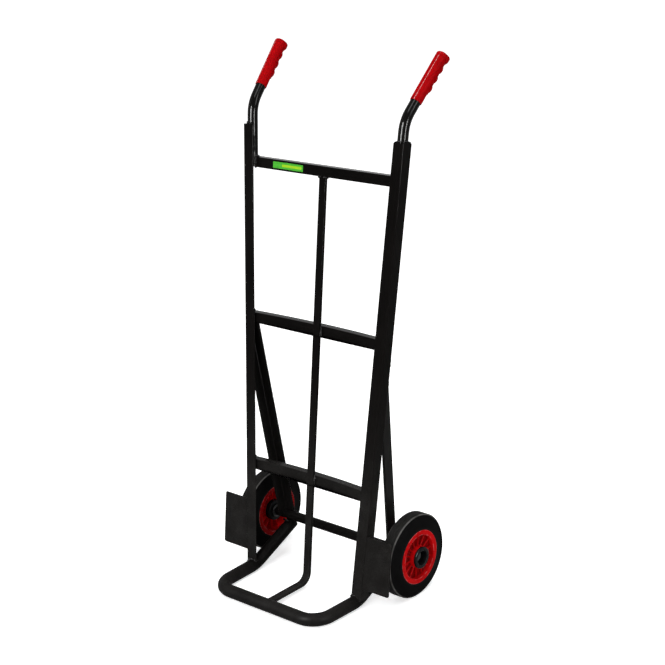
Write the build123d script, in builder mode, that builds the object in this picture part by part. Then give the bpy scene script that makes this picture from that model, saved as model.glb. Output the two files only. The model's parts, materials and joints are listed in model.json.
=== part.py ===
from build123d import *

import os
from math import asin, atan, cos, degrees, hypot, radians, sin, tan

# A sack truck: angle iron frame, bent tube toe, red grips and two red-centred wheels.
# X runs across, +Y to the rear, +Z up. The origin is on the floor, under the middle of its box.

# Overall layout
overall_depth = 447.0
toe_reach = 149.0
axle_behind_frame = 145.0
weld_gap = 0.1

# Crossbars, smaller angle iron, heights taken up the lean
crossbar_leg = 25.0
crossbar_wall = 3.0
crossbar_root = 3.0
top_crossbar_height = 1043.5
middle_crossbar_height = 663.5
lower_crossbar_height = 292.0
crossbar_bow = 14.0

# Uprights, angle iron that spreads towards the top and stands past the top crossbar
angle_leg = 30.0
angle_wall = 3.0
angle_root = 3.0
frame_width_floor = 369.0
frame_width_top = 489.0
upright_past_crossbar = 77.5
upright_top = top_crossbar_height + upright_past_crossbar
corner_clip = 4.0
foot_level = 22.0
root_clearance = 1.1

# Centre bar, flat stock bent forward at the foot
centre_bar_width = 20.0
centre_bar_thickness = 8.0
centre_bar_bend = 28.0

# Toe frame, one bent tube
toe_radius = 16.0
toe_wall = 2.5
toe_spacing_front = 326.0
toe_spacing_rear = 336.0
toe_corner_bend = 50.0
toe_floor_bend = 90.0
toe_rise = radians(24.0)
toe_past_axle = 14.0

# Handle tubes and grips
handle_radius = 12.5
handle_wall = 2.0
handle_past_upright = 23.0
handle_rise = upright_top + handle_past_upright
handle_bend = 77.0
handle_turn = radians(36.4)
handle_splay = radians(3.45)
handle_straight = 26.5
grip_length = 132.0
grip_radius = 14.2
grip_end_round = 4.0
grip_end_wall = 4.0
grip_clearance = 0.1
finger_offset = 6.0
finger_valley = 11.4
finger_peak = 14.2
finger_last_peak = 15.8
finger_pitch = 26.0
finger_width = 18.0
finger_count = 4
finger_end_flat = 5.0

# Upper stays, the same angle iron as the uprights
stay_half_spacing = 180.0
stay_behind_axle = 8.0
stay_top_depth = 16.3
stay_spare = 60.0

# Wheel guards, flat plate
guard_thickness = 4.0
guard_half_span = 268.0
guard_low = 55.0
guard_high = 188.5
guard_low_round = 6.0
guard_high_round = 4.0

# Axle, cross tube and wheel keeping
axle_radius = 10.0
axle_chamfer = 1.6
axle_tube_radius = 12.0
axle_tube_clearance = 0.2
running_clearance = 0.05
side_clearance = 0.3
washer_thickness = 3.0
washer_radius = 16.5
washer_clearance = 0.1
pin_radius = 1.6
pin_clearance = 0.15
pin_eye_radius = 2.2
pin_leg = 6.0
axle_past_pin = 5.0

# Wheels, measured from the wheel's own mid plane, positive outwards
wheel_radius = 105.0
wheel_half_spacing = 232.5
tyre_width = 32.0
tyre_bead_width = 48.0
tyre_bevel = 3.0
tyre_edge_round = 1.0
rim_seat_radius = 63.0
rim_lip_radius = 67.0
rim_lip_depth = 3.0
rim_lip_proud = 0.6
rim_edge_round = 0.6
rim_wall = 8.0
web_thickness = 6.0
web_outer_end = 15.0
outer_rib_height = 21.0
inner_rib_height = 8.0
rib_thickness = 4.0
rib_count = 14
rib_turn = 6.3
hub_radius = 27.0
hub_outer_end = 26.5
bush_radius = 14.0
bush_inner_end = 24.0
bush_outer_end = 10.5
bush_proud = 2.5
washer_room = 1.5
spigot_wall = 2.0
ring_outer_end = 32.5
ring_inner_end = 22.0
ring_round = 3.0
fit_clearance = 0.05

# Places and directions that follow from the sizes above
frame_foot_y = toe_reach - overall_depth / 2
axle_y = frame_foot_y + axle_behind_frame
toe_bar_y = toe_radius - overall_depth / 2
taper = atan((frame_width_top - frame_width_floor) / 2 / upright_top)
nest = angle_wall + handle_radius + weld_gap
cut_block = 4 * angle_leg

# The frame leans back as far as brings the grips' last finger bump to the back of the box
bump_reach = handle_straight + grip_length - grip_end_round
bump_drop = finger_offset + finger_last_peak - grip_end_round
bump_back = handle_bend + bump_reach * sin(handle_turn) - (handle_bend - bump_drop) * cos(handle_turn)
bump_rise = handle_rise + bump_reach * cos(handle_turn) + (handle_bend - bump_drop) * sin(handle_turn)
reach_depth = nest + bump_back * cos(handle_splay)
reach_height = (nest - bump_back * sin(handle_splay)) * sin(taper) + bump_rise * cos(taper)
bump_run = overall_depth - toe_reach - grip_end_round
lean = asin(bump_run / hypot(reach_depth, reach_height)) - atan(reach_depth / reach_height)
lean_up = Vector(0, sin(lean), cos(lean))
rearward = Vector(0, cos(lean), -sin(lean))
across = Vector(1, 0, 0)
upright_axis = across * sin(taper) + lean_up * cos(taper)
outward = across * cos(taper) - lean_up * sin(taper)


def on_frame(x, depth, height):
    """Point at x across, a depth behind the load face and a height up the lean."""
    return Vector(x, frame_foot_y, 0) + rearward * depth + lean_up * height


def half_width(height):
    """Half the outside width of the pair of uprights at a height up the lean."""
    return frame_width_floor / 2 + height * tan(taper)


def angle_profile(leg, wall, root):
    """Rolled angle section with its heel at the origin and legs along +X and +Y."""
    with BuildSketch() as profile:
        with BuildLine():
            Polyline((0, 0), (leg, 0), (leg, wall), (wall, wall), (wall, leg), (0, leg), close=True)
        make_face()
        fillet(profile.vertices().sort_by_distance((wall, wall))[0], radius=root)
        toes = profile.vertices().sort_by_distance((leg, wall))[:1]
        toes += profile.vertices().sort_by_distance((wall, leg))[:1]
        fillet(toes, radius=wall / 2)
    return profile.sketch


def mirrored(part):
    """The same piece for the other side."""
    with BuildPart() as copy:
        mirror(part, about=Plane.YZ)
    return copy.part


frame_angle = angle_profile(angle_leg, angle_wall, angle_root)
crossbar_angle = angle_profile(crossbar_leg, crossbar_wall, crossbar_root)
load_face = Plane(origin=on_frame(0, 0, 0), x_dir=across, z_dir=rearward * -1)
pieces = {}

# Toe frame: from one end under the axle tube, along the floor, round the U and back
rail_rise_run = (wheel_radius - toe_radius) - (toe_radius + axle_tube_radius + weld_gap) / cos(toe_rise)
rail_bend_y = axle_y - rail_rise_run / tan(toe_rise)
rail_end_y = axle_y + toe_past_axle
rail_end_z = toe_radius + (rail_end_y - rail_bend_y) * tan(toe_rise)
toe_points = []
for side in (-1, 1):
    rear_x = side * toe_spacing_rear / 2
    front_x = side * toe_spacing_front / 2
    half_route = [
        (rear_x, rail_end_y, rail_end_z),
        (rear_x, rail_bend_y, toe_radius),
        (front_x, toe_bar_y, toe_radius),
    ]
    toe_points += half_route if side < 0 else half_route[::-1]
toe_bends = [toe_floor_bend, toe_corner_bend, toe_corner_bend, toe_floor_bend]


def toe_sweep(outer, bore):
    """The toe's route as a tube, or as a rod where the bore is zero."""
    with BuildPart() as tube:
        with BuildLine() as route:
            FilletPolyline(*toe_points, radius=toe_bends)
        with BuildSketch(Plane(origin=route.line @ 0, z_dir=route.line % 0)):
            Circle(outer)
            if bore > 0:
                Circle(bore, mode=Mode.SUBTRACT)
        sweep()
    return tube.part


pieces["toe_frame"] = toe_sweep(toe_radius, toe_radius - toe_wall)
toe_room = toe_sweep(toe_radius + weld_gap, 0)

# Upright: rolled angle, clipped at the top, its foot cut level and coped over the toe tube
upright_heel = on_frame(frame_width_top / 2, 0, upright_top)
upright_length = (upright_top - toe_radius) / cos(taper)
with BuildPart() as right_upright:
    with BuildSketch(Plane(origin=upright_heel, x_dir=outward * -1, z_dir=upright_axis * -1)):
        add(frame_angle)
    extrude(amount=upright_length)
    for along, facing in ((outward * -1, rearward * -1), (rearward, outward * -1)):
        with BuildSketch(Plane(origin=upright_heel, x_dir=along, z_dir=facing)):
            with BuildLine():
                Polyline(
                    (angle_leg - corner_clip, 0),
                    (angle_leg, corner_clip),
                    (angle_leg, 0),
                    close=True,
                )
            make_face()
        extrude(amount=angle_leg, both=True, mode=Mode.SUBTRACT)
    with BuildSketch(Plane.XY.offset(foot_level)):
        with Locations((half_width(0), frame_foot_y)):
            Rectangle(cut_block, cut_block)
    extrude(amount=-cut_block, mode=Mode.SUBTRACT)
    add(toe_room, mode=Mode.SUBTRACT)
pieces["right_upright"] = right_upright.part
pieces["left_upright"] = mirrored(right_upright.part)

# Handle tube's line, nested in the upright, and the room that it takes there
handle_foot = on_frame(half_width(0), 0, 0) + rearward * nest - outward * nest
with BuildPart() as handle_room:
    with BuildSketch(Plane(origin=handle_foot, z_dir=upright_axis)):
        Circle(handle_radius + weld_gap)
    extrude(amount=handle_rise)
    mirror(about=Plane.YZ)

# Crossbars: front leg down, top leg to the rear, the bowed ones behind the centre bar
bowed_inset = (angle_wall + weld_gap) / cos(taper)
bowed_end_depth = angle_wall + angle_root + root_clearance
bowed_face = bowed_end_depth + crossbar_bow
bar_front = bowed_face - weld_gap - centre_bar_thickness


def crossbar(top, face, bow, inset):
    """Angle bar across the frame, its face at a depth in the middle, straight or bowed to the rear."""
    half_length = half_width(top) - inset
    window_top = top + crossbar_wall
    window_low = top - crossbar_leg - crossbar_wall
    high_x = half_width(window_top) - inset
    low_x = half_width(window_low) - inset
    heel = on_frame(0, face, top)
    with BuildPart() as bar:
        with BuildSketch(Plane(origin=heel, x_dir=rearward, z_dir=across * -1)):
            add(crossbar_angle)
        if bow > 0:
            bow_radius = (half_length**2 + bow**2) / (2 * bow)
            pivot = Axis(on_frame(0, face - bow_radius, top), lean_up)
            revolve(axis=pivot, revolution_arc=degrees(asin((half_length + crossbar_leg) / bow_radius)))
            mirror(about=Plane.YZ)
        else:
            extrude(amount=half_length + crossbar_leg, both=True)
        with BuildSketch(load_face):
            with BuildLine():
                Polyline(
                    (-low_x, window_low),
                    (low_x, window_low),
                    (high_x, window_top),
                    (-high_x, window_top),
                    close=True,
                )
            make_face()
        extrude(amount=face + 2 * crossbar_leg, both=True, mode=Mode.INTERSECT)
    return bar.part


# The top crossbar is straight, flush with the centre bar, its ends coped over the handle tubes
with BuildPart() as top_crossbar:
    add(crossbar(top_crossbar_height, bar_front, 0, nest / cos(taper)))
    add(handle_room.part, mode=Mode.SUBTRACT)
pieces["top_crossbar"] = top_crossbar.part
pieces["middle_crossbar"] = crossbar(middle_crossbar_height, bowed_face, crossbar_bow, bowed_inset)
pieces["lower_crossbar"] = crossbar(lower_crossbar_height, bowed_face, crossbar_bow, bowed_inset)

# Centre bar: under the top crossbar, down the front of the bowed ones, forward to the toe
bar_depth = bar_front + centre_bar_thickness / 2
bar_head = on_frame(0, bar_depth, top_crossbar_height - crossbar_leg)
bar_corner_y = bar_head.Y - (bar_head.Z - toe_radius) * tan(lean)
with BuildPart() as centre_bar:
    with BuildLine(Plane.YZ) as bar_route:
        FilletPolyline(
            (bar_head.Y, bar_head.Z),
            (bar_corner_y, toe_radius),
            (toe_bar_y + toe_radius, toe_radius),
            radius=centre_bar_bend,
        )
    with BuildSketch(Plane(origin=bar_route.line @ 0, x_dir=across, z_dir=bar_route.line % 0)):
        Rectangle(centre_bar_width, centre_bar_thickness)
    sweep()
pieces["centre_bar"] = centre_bar.part

# Handle tube: from the foot of the top crossbar up the upright, bent to the rear and a little out
bend_way = rearward * cos(handle_splay) + outward * sin(handle_splay)
handle_plane = Plane(origin=handle_foot, x_dir=bend_way, z_dir=bend_way.cross(upright_axis))
handle_start = (top_crossbar_height - crossbar_leg) / cos(taper)
grip_axis = bend_way * sin(handle_turn) + upright_axis * cos(handle_turn)
grip_under = bend_way * cos(handle_turn) - upright_axis * sin(handle_turn)
bend_end = (handle_bend * (1 - cos(handle_turn)), handle_rise + handle_bend * sin(handle_turn))
bend_vertex = (0, handle_rise + handle_bend * tan(handle_turn / 2))
tube_end = handle_straight + grip_length - grip_end_wall - grip_clearance
tube_tip = (bend_end[0] + tube_end * sin(handle_turn), bend_end[1] + tube_end * cos(handle_turn))
with BuildPart() as right_handle_tube:
    with BuildLine(handle_plane) as handle_route:
        FilletPolyline((0, handle_start), bend_vertex, tube_tip, radius=handle_bend)
    with BuildSketch(Plane(origin=handle_route.line @ 0, z_dir=handle_route.line % 0)):
        Circle(handle_radius)
        Circle(handle_radius - handle_wall, mode=Mode.SUBTRACT)
    sweep()
pieces["right_handle_tube"] = right_handle_tube.part
pieces["left_handle_tube"] = mirrored(right_handle_tube.part)

# Grip: closed sleeve with finger bumps turned about an axis set towards the underside, made
# upright on the origin with its underside to +X, then set on the tube
grip_foot = handle_plane.from_local_coords(bend_end) + grip_axis * handle_straight
grip_place = Plane(origin=grip_foot, x_dir=grip_under, z_dir=grip_axis).location
finger_axis = Axis((finger_offset, 0, 0), (0, 0, 1))
peak_x = finger_offset + finger_peak
last_x = finger_offset + finger_last_peak
valley_x = finger_offset + finger_valley
last_peak = grip_length - grip_end_round - finger_end_flat
first_valley = last_peak - (finger_count - 0.5) * finger_pitch
last_foot = last_peak - finger_pitch / 2
with BuildPart() as right_grip:
    with BuildSketch(Plane.XZ):
        with BuildLine():
            Line((finger_offset, first_valley - finger_valley), (valley_x, first_valley))
            reached = first_valley
            for bump in range(finger_count - 1):
                peak = first_valley + (bump + 0.5) * finger_pitch
                Line((valley_x, reached), (valley_x, peak - finger_width / 2))
                reached = peak + finger_width / 2
                ThreePointArc(
                    (valley_x, peak - finger_width / 2),
                    (peak_x, peak),
                    (valley_x, reached),
                )
            Line((valley_x, reached), (valley_x, last_foot))
            Spline((valley_x, last_foot), (last_x, last_peak), tangents=[(1, 1), (0, 1)])
            Line((last_x, last_peak), (last_x, grip_length - grip_end_round))
            RadiusArc(
                (last_x, grip_length - grip_end_round),
                (last_x - grip_end_round, grip_length),
                -grip_end_round,
            )
            Polyline(
                (last_x - grip_end_round, grip_length),
                (finger_offset, grip_length),
                (finger_offset, first_valley - finger_valley),
            )
        make_face()
    revolve(axis=finger_axis)
    with BuildSketch(Plane.XZ):
        with BuildLine():
            FilletPolyline(
                (0, 0),
                (grip_radius, 0),
                (grip_radius, grip_length),
                (0, grip_length),
                radius=[grip_end_round / 2, grip_end_round],
            )
            Line((0, grip_length), (0, 0))
        make_face()
    revolve(axis=Axis.Z)
    with BuildSketch(Plane.XY):
        Circle(handle_radius + grip_clearance)
    extrude(amount=grip_length - grip_end_wall, mode=Mode.SUBTRACT)
pieces["right_grip"] = right_grip.part.moved(grip_place)
pieces["left_grip"] = mirrored(pieces["right_grip"])

# Upper stay: heel at the outer rear, from the axle tube up into the upright
axle_centre = Vector(0, axle_y, wheel_radius)
stay_top = middle_crossbar_height - crossbar_leg - weld_gap
stay_low = axle_centre + across * stay_half_spacing + rearward * stay_behind_axle
stay_high_x = half_width(stay_top) - (angle_wall + 2 * weld_gap) / cos(taper)
stay_high = on_frame(stay_high_x, stay_top_depth, stay_top)
stay_run = stay_high - stay_low
stay_way = stay_run.normalized()
stay_front_limit = angle_wall + angle_root + weld_gap
with BuildPart() as right_upper_stay:
    with BuildSketch(Plane(origin=stay_low - stay_way * stay_spare, x_dir=across * -1, z_dir=stay_way)):
        add(frame_angle)
    extrude(amount=stay_run.length + 2 * stay_spare)
    # ends: square under the middle crossbar, clear of the upright's root, coped over the axle tube
    with BuildSketch(load_face.offset(-stay_front_limit)):
        with Locations((half_width(stay_top), stay_top)):
            Rectangle(cut_block, stay_run.length)
    extrude(amount=cut_block, mode=Mode.SUBTRACT)
    with BuildSketch(Plane(origin=on_frame(half_width(stay_top), 0, stay_top), z_dir=lean_up)):
        Rectangle(cut_block, cut_block)
    extrude(amount=stay_run.length, mode=Mode.SUBTRACT)
    with BuildSketch(Plane.XY.offset(wheel_radius)):
        with Locations((stay_half_spacing, axle_y)):
            Rectangle(cut_block, cut_block)
    extrude(amount=-stay_run.length, mode=Mode.SUBTRACT)
    with BuildSketch(Plane.YZ):
        with Locations((axle_y, wheel_radius)):
            Circle(axle_tube_radius + weld_gap)
    extrude(amount=guard_half_span, mode=Mode.SUBTRACT)
pieces["right_upper_stay"] = right_upper_stay.part
pieces["left_upper_stay"] = mirrored(right_upper_stay.part)

# Wheel guard: plate on the upright's outer face, level with the load face
with BuildPart() as right_wheel_guard:
    with BuildSketch(load_face) as guard_outline:
        with BuildLine():
            Polyline(
                (half_width(guard_low), guard_low),
                (guard_half_span, guard_low),
                (guard_half_span, guard_high),
                (half_width(guard_high), guard_high),
                close=True,
            )
        make_face()
        low_corner = guard_outline.vertices().sort_by_distance((guard_half_span, guard_low))[0]
        fillet(low_corner, radius=guard_low_round)
        high_corner = guard_outline.vertices().sort_by_distance((guard_half_span, guard_high))[0]
        fillet(high_corner, radius=guard_high_round)
    extrude(amount=-guard_thickness)
pieces["right_wheel_guard"] = right_wheel_guard.part
pieces["left_wheel_guard"] = mirrored(right_wheel_guard.part)

# Axle, its tube, washers and split pins
wheel_inner_face = wheel_half_spacing - bush_inner_end
axle_tube_half = wheel_inner_face - side_clearance - washer_thickness
outer_washer_start = wheel_half_spacing + bush_outer_end + side_clearance
pin_x = outer_washer_start + washer_thickness + pin_clearance + pin_radius
axle_half = pin_x + axle_past_pin
axle_plane = Plane(origin=axle_centre, x_dir=(0, 1, 0), z_dir=across)
with BuildPart() as axle_tube:
    with BuildSketch(axle_plane):
        Circle(axle_tube_radius)
        Circle(axle_radius + axle_tube_clearance, mode=Mode.SUBTRACT)
    extrude(amount=axle_tube_half, both=True)
pieces["axle_tube"] = axle_tube.part

with BuildPart() as axle:
    with BuildSketch(axle_plane):
        Circle(axle_radius)
    extrude(amount=axle_half, both=True)
    chamfer(axle.edges().filter_by(GeomType.CIRCLE), length=axle_chamfer)
    with BuildSketch(Plane.XY.offset(wheel_radius)):
        with Locations((pin_x, axle_y), (-pin_x, axle_y)):
            Circle(pin_radius + pin_clearance)
    extrude(amount=2 * axle_radius, both=True, mode=Mode.SUBTRACT)
pieces["axle"] = axle.part


def washer_pair(start):
    """One washer on each side of the truck, its inner face at x = start."""
    with BuildPart() as pair:
        with BuildSketch(axle_plane.offset(start)):
            Circle(washer_radius)
            Circle(axle_radius + washer_clearance, mode=Mode.SUBTRACT)
        extrude(amount=washer_thickness)
        mirror(about=Plane.YZ)
    return pair.part


pieces["inner_washers"] = washer_pair(axle_tube_half)
pieces["outer_washers"] = washer_pair(outer_washer_start)

# Split pin: shank through the axle, eye above, two spread legs below
pin_axis_low = wheel_radius - axle_radius - pin_radius
eye_centre = Vector(pin_x, axle_y, wheel_radius + axle_radius + pin_radius + pin_eye_radius)
with BuildPart() as split_pins:
    with BuildSketch(Plane(origin=(pin_x, axle_y, pin_axis_low), z_dir=(0, 0, 1))):
        Circle(pin_radius)
    extrude(amount=2 * (axle_radius + pin_radius))
    with BuildSketch(Plane(origin=eye_centre, x_dir=(0, 1, 0), z_dir=across)):
        Circle(pin_eye_radius + pin_radius / 2)
        Circle(pin_eye_radius - pin_radius / 2, mode=Mode.SUBTRACT)
    extrude(amount=pin_radius / 2, both=True)
    for spread in (-1, 1):
        leg_root = Vector(pin_x, axle_y, pin_axis_low + pin_radius)
        with BuildSketch(Plane(origin=leg_root, x_dir=across, z_dir=(0, spread, -1))):
            Rectangle(pin_radius, pin_radius)
        extrude(amount=pin_leg)
    mirror(about=Plane.YZ)
pieces["split_pins"] = split_pins.part

# Wheel pieces, turned about the axle on a plane with X outwards and Y radial
wheel_centre_point = axle_centre + across * wheel_half_spacing
wheel_section = Plane(origin=wheel_centre_point, x_dir=across, z_dir=(0, -1, 0))
wheel_axis = Axis(wheel_centre_point, across)
wheel_face = Plane(origin=wheel_centre_point, x_dir=(0, 1, 0), z_dir=across)
tyre_half = tyre_width / 2
bead_half = tyre_bead_width / 2
lip_seat = bead_half - rim_lip_depth


def turned(outline):
    """Solid turned about the wheel's axis from (outwards, radius) points."""
    with BuildPart() as body:
        with BuildSketch(wheel_section):
            with BuildLine():
                Polyline(*outline, close=True)
            make_face()
        revolve(axis=wheel_axis)
    return body.part


# Tyre: flat tread, bevelled shoulders, walls that swell to the rim, rebates for the rim's lips
tyre_seat = rim_seat_radius + fit_clearance
tyre_lip = rim_lip_radius + fit_clearance
with BuildPart() as right_tyre:
    with BuildSketch(wheel_section) as tyre_outline:
        with BuildLine():
            Polyline(
                (-lip_seat + fit_clearance, tyre_seat),
                (lip_seat - fit_clearance, tyre_seat),
                (lip_seat - fit_clearance, tyre_lip),
                (bead_half, tyre_lip),
                (tyre_half, wheel_radius - tyre_bevel),
                (tyre_half - tyre_bevel, wheel_radius),
                (tyre_bevel - tyre_half, wheel_radius),
                (-tyre_half, wheel_radius - tyre_bevel),
                (-bead_half, tyre_lip),
                (-lip_seat + fit_clearance, tyre_lip),
                close=True,
            )
        make_face()
        shoulders = tyre_outline.vertices().group_by(Axis.Y)[-2:]
        fillet(shoulders[0] + shoulders[1], radius=tyre_edge_round)
    revolve(axis=wheel_axis)
pieces["right_tyre"] = right_tyre.part

# Wheel centre: lipped rim, web, ribs on both faces, hub bored for the bush and the outer washer
rim_bore = rim_seat_radius - rim_wall
lip_face = bead_half + rim_lip_proud
web_inner_end = web_outer_end - web_thickness
rib_length = rim_bore - hub_radius + rim_wall
spigot_bore = washer_radius + washer_room
spigot_radius = spigot_bore + spigot_wall
recess_radius = spigot_radius + fit_clearance
recess_floor = bush_outer_end - bush_proud
with BuildPart() as right_wheel_centre:
    add(
        turned(
            [
                (-lip_face, rim_bore),
                (web_inner_end, rim_bore),
                (web_inner_end, hub_radius),
                (-inner_rib_height, hub_radius),
                (-inner_rib_height, bush_radius + fit_clearance),
                (recess_floor, bush_radius + fit_clearance),
                (recess_floor, recess_radius),
                (hub_outer_end, recess_radius),
                (hub_outer_end, hub_radius),
                (web_outer_end, hub_radius),
                (web_outer_end, rim_bore),
                (lip_face, rim_bore),
                (lip_face, rim_lip_radius),
                (lip_seat, rim_lip_radius),
                (lip_seat, rim_seat_radius),
                (-lip_seat, rim_seat_radius),
                (-lip_seat, rim_lip_radius),
                (-lip_face, rim_lip_radius),
            ]
        )
    )
    for rib_end in (outer_rib_height, -inner_rib_height):
        with BuildSketch(wheel_face):
            with PolarLocations(hub_radius + rib_length / 2 - rim_wall / 2, rib_count, rib_turn):
                Rectangle(rib_length, rib_thickness)
        extrude(amount=rib_end)
    lip_edges = right_wheel_centre.edges().filter_by(GeomType.CIRCLE)
    lip_edges = lip_edges.filter_by(lambda edge: abs(edge.radius - rim_bore) < fit_clearance)
    fillet(lip_edges.group_by(Axis.X)[0] + lip_edges.group_by(Axis.X)[-1], radius=rim_edge_round)
pieces["right_wheel_centre"] = right_wheel_centre.part

pieces["right_bush"] = turned(
    [
        (-bush_inner_end, axle_radius + running_clearance),
        (bush_outer_end, axle_radius + running_clearance),
        (bush_outer_end, bush_radius),
        (-bush_inner_end, bush_radius),
    ]
)


def hub_ring(outline, end):
    """Black ring on one face of the hub, rounded at the outer corner of its end."""
    with BuildPart() as ring:
        add(turned(outline))
        circles = ring.edges().filter_by(GeomType.CIRCLE)
        rims = circles.filter_by(lambda edge: abs(edge.radius - hub_radius) < fit_clearance)
        fillet(rims.sort_by(Axis.X)[-1 if end > 0 else 0], radius=ring_round)
    return ring.part


# The outer ring's spigot lines the recess, the inner ring sits around the bush
pieces["right_outer_hub_ring"] = hub_ring(
    [
        (recess_floor + fit_clearance, spigot_bore),
        (ring_outer_end, spigot_bore),
        (ring_outer_end, hub_radius),
        (hub_outer_end, hub_radius),
        (hub_outer_end, spigot_radius),
        (recess_floor + fit_clearance, spigot_radius),
    ],
    ring_outer_end,
)
pieces["right_inner_hub_ring"] = hub_ring(
    [
        (-inner_rib_height, bush_radius + fit_clearance),
        (-ring_inner_end, bush_radius + fit_clearance),
        (-ring_inner_end, hub_radius),
        (-inner_rib_height, hub_radius),
    ],
    -ring_inner_end,
)

for name in ("tyre", "wheel_centre", "bush", "outer_hub_ring", "inner_hub_ring"):
    pieces[f"left_{name}"] = mirrored(pieces[f"right_{name}"])

os.makedirs("parts", exist_ok=True)
for name, part in pieces.items():
    part.label = name
    export_step(part, f"parts/{name}.step")
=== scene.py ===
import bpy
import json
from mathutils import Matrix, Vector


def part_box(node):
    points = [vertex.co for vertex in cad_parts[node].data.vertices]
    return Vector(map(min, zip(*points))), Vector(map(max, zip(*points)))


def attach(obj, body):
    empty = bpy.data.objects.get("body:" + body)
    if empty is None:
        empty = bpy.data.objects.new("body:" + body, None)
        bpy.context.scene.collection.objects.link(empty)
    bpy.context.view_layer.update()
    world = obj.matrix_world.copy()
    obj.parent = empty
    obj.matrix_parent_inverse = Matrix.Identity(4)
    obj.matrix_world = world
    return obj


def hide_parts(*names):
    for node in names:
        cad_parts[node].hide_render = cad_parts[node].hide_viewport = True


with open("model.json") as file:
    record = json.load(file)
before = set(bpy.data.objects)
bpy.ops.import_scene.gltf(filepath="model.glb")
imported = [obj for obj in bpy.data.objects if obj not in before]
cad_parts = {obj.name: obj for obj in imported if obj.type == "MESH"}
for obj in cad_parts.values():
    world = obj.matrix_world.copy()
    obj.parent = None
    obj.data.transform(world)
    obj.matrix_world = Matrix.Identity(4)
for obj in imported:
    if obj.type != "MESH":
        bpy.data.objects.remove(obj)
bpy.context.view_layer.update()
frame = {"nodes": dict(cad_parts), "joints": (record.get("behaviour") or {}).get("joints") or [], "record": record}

import json
from math import atan2, cos, pi, radians, sin, sqrt, tan

import bmesh
import bpy
from bpy.props import FloatProperty, FloatVectorProperty, IntProperty, PointerProperty
from mathutils import Matrix, Vector

bl_info = {
    "name": "Sack truck finish",
    "version": (1, 0, 0),
    "blender": (4, 5, 0),
    "location": "3D View > Sidebar > Sack truck",
    "description": "Dresses a packed sack truck with welds, grips, wheels, finishes and a studio",
    "category": "Object",
}

MM = 0.001
SIDES = (("left", -1), ("right", 1))

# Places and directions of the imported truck: across, to the rear of the load face, up the lean,
# and along and out of the right upright
load_mount = next(m for m in frame["record"]["mounts"] if m["name"] == "right_load_face")
spin = {joint["child"]: Vector(joint["pos_m"]) for joint in frame["joints"]}
axle = spin["right_wheel"]
across = Vector((1, 0, 0))
rearward = -Vector(load_mount["axis"]).normalized()
lean_up = Vector((0, -rearward.z, rearward.y))
mount_height = 480 * MM
mount_inset = 15 * MM
floor_half_width = 184.5 * MM
mount_half_width = load_mount["pos_m"][0] + mount_inset
taper = atan2(mount_half_width - floor_half_width, mount_height)
frame_foot = Vector((0, *load_mount["pos_m"][1:])) - lean_up * mount_height
upright_axis = across * sin(taper) + lean_up * cos(taper)
outward = across * cos(taper) - lean_up * sin(taper)

# Sizes of the steel that the welds follow
toe_radius = 16 * MM
toe_half_spacing = 167.5 * MM
toe_bend = 90 * MM
toe_rise = radians(24)
axle_tube_radius = 12 * MM
weld_gap = 0.1 * MM
shortest_rolled_edge = 20 * MM
bead_seed = 4

# Each painted node's enamel
painted_nodes = {
    "left_upright": "black_enamel",
    "right_upright": "black_enamel",
    "top_crossbar": "black_enamel",
    "middle_crossbar": "black_enamel",
    "lower_crossbar": "black_enamel",
    "centre_bar": "black_enamel",
    "toe_frame": "black_toe",
    "left_handle_tube": "black_gloss",
    "right_handle_tube": "black_gloss",
    "left_upper_stay": "black_satin",
    "right_upper_stay": "black_satin",
    "left_wheel_guard": "black_enamel",
    "right_wheel_guard": "black_enamel",
    "axle_tube": "black_enamel",
}

# Each enamel's roughness where smooth and where dull, specular level, share of dust and painted
# bounce light, and the place along the truck at which these start to fade to the rear as painted shade
enamels = {
    "black_enamel": (0.11, 0.16, 0.010, 0.52, -20 * MM),
    "black_gloss": (0.09, 0.14, 0.030, 0.52, -20 * MM),
    "black_satin": (0.28, 0.38, 0.030, 0.52, -20 * MM),
    "black_toe": (0.32, 0.42, 0.010, 0.33, -125 * MM),
    "black_weld": (0.12, 0.18, 0.040, 0.12, -20 * MM),
}
# Length over which the dust and painted bounce light fade out to the rear, leaving painted shade there
rear_shade_length = 60 * MM

# Each lamp's name, place, target, size and power. The sheens show only as reflections.
sheen_target = (0.1, 0.0, 1.1)
soft_boxes = (
    ("overhead", (0.3, 0.2, 4.6), (0.0, 0.0, 0.6), (3.6, 3.6), 125),
    ("front_box", (0.9, -3.2, 1.9), (0.1, 0.0, 0.6), (0.9, 1.6), 52),
    ("left_box", (-2.2, -1.6, 1.7), (0.0, 0.0, 0.7), (0.5, 2.4), 14),
    ("right_box", (2.6, 0.2, 1.6), (0.0, 0.1, 0.7), (0.5, 2.2), 10),
)
sheens = (
    ("front_sheen", (-0.2, -3.0, 1.8), sheen_target, (0.9, 1.7), 1200),
    ("side_sheen", (3.1, -0.67, 1.1), sheen_target, (0.6, 1.6), 500),
    ("high_side_sheen", (2.79, 0.24, 2.6), sheen_target, (0.9, 1.3), 110),
    ("top_sheen", (0.5, -1.2, 3.9), sheen_target, (0.9, 0.9), 75),
)


def on_frame(x, depth, height):
    """Point at x across, a depth behind the load face and a height up the lean, in metres."""
    return frame_foot + across * x + rearward * depth + lean_up * height


def half_width(height):
    """Half the outside width of the pair of uprights at a height up the lean."""
    return floor_half_width + height * tan(taper)


def length_prop(name, default, description):
    """Property that holds a length."""
    return FloatProperty(name=name, description=description, default=default, unit="LENGTH")


def angle_prop(name, degrees, description):
    """Property that holds an angle."""
    return FloatProperty(
        name=name, description=description, default=radians(degrees), subtype="ANGLE"
    )


def colour_prop(name, default, description):
    """Property that holds a colour."""
    return FloatVectorProperty(
        name=name, description=description, default=default, size=3, subtype="COLOR"
    )


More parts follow.
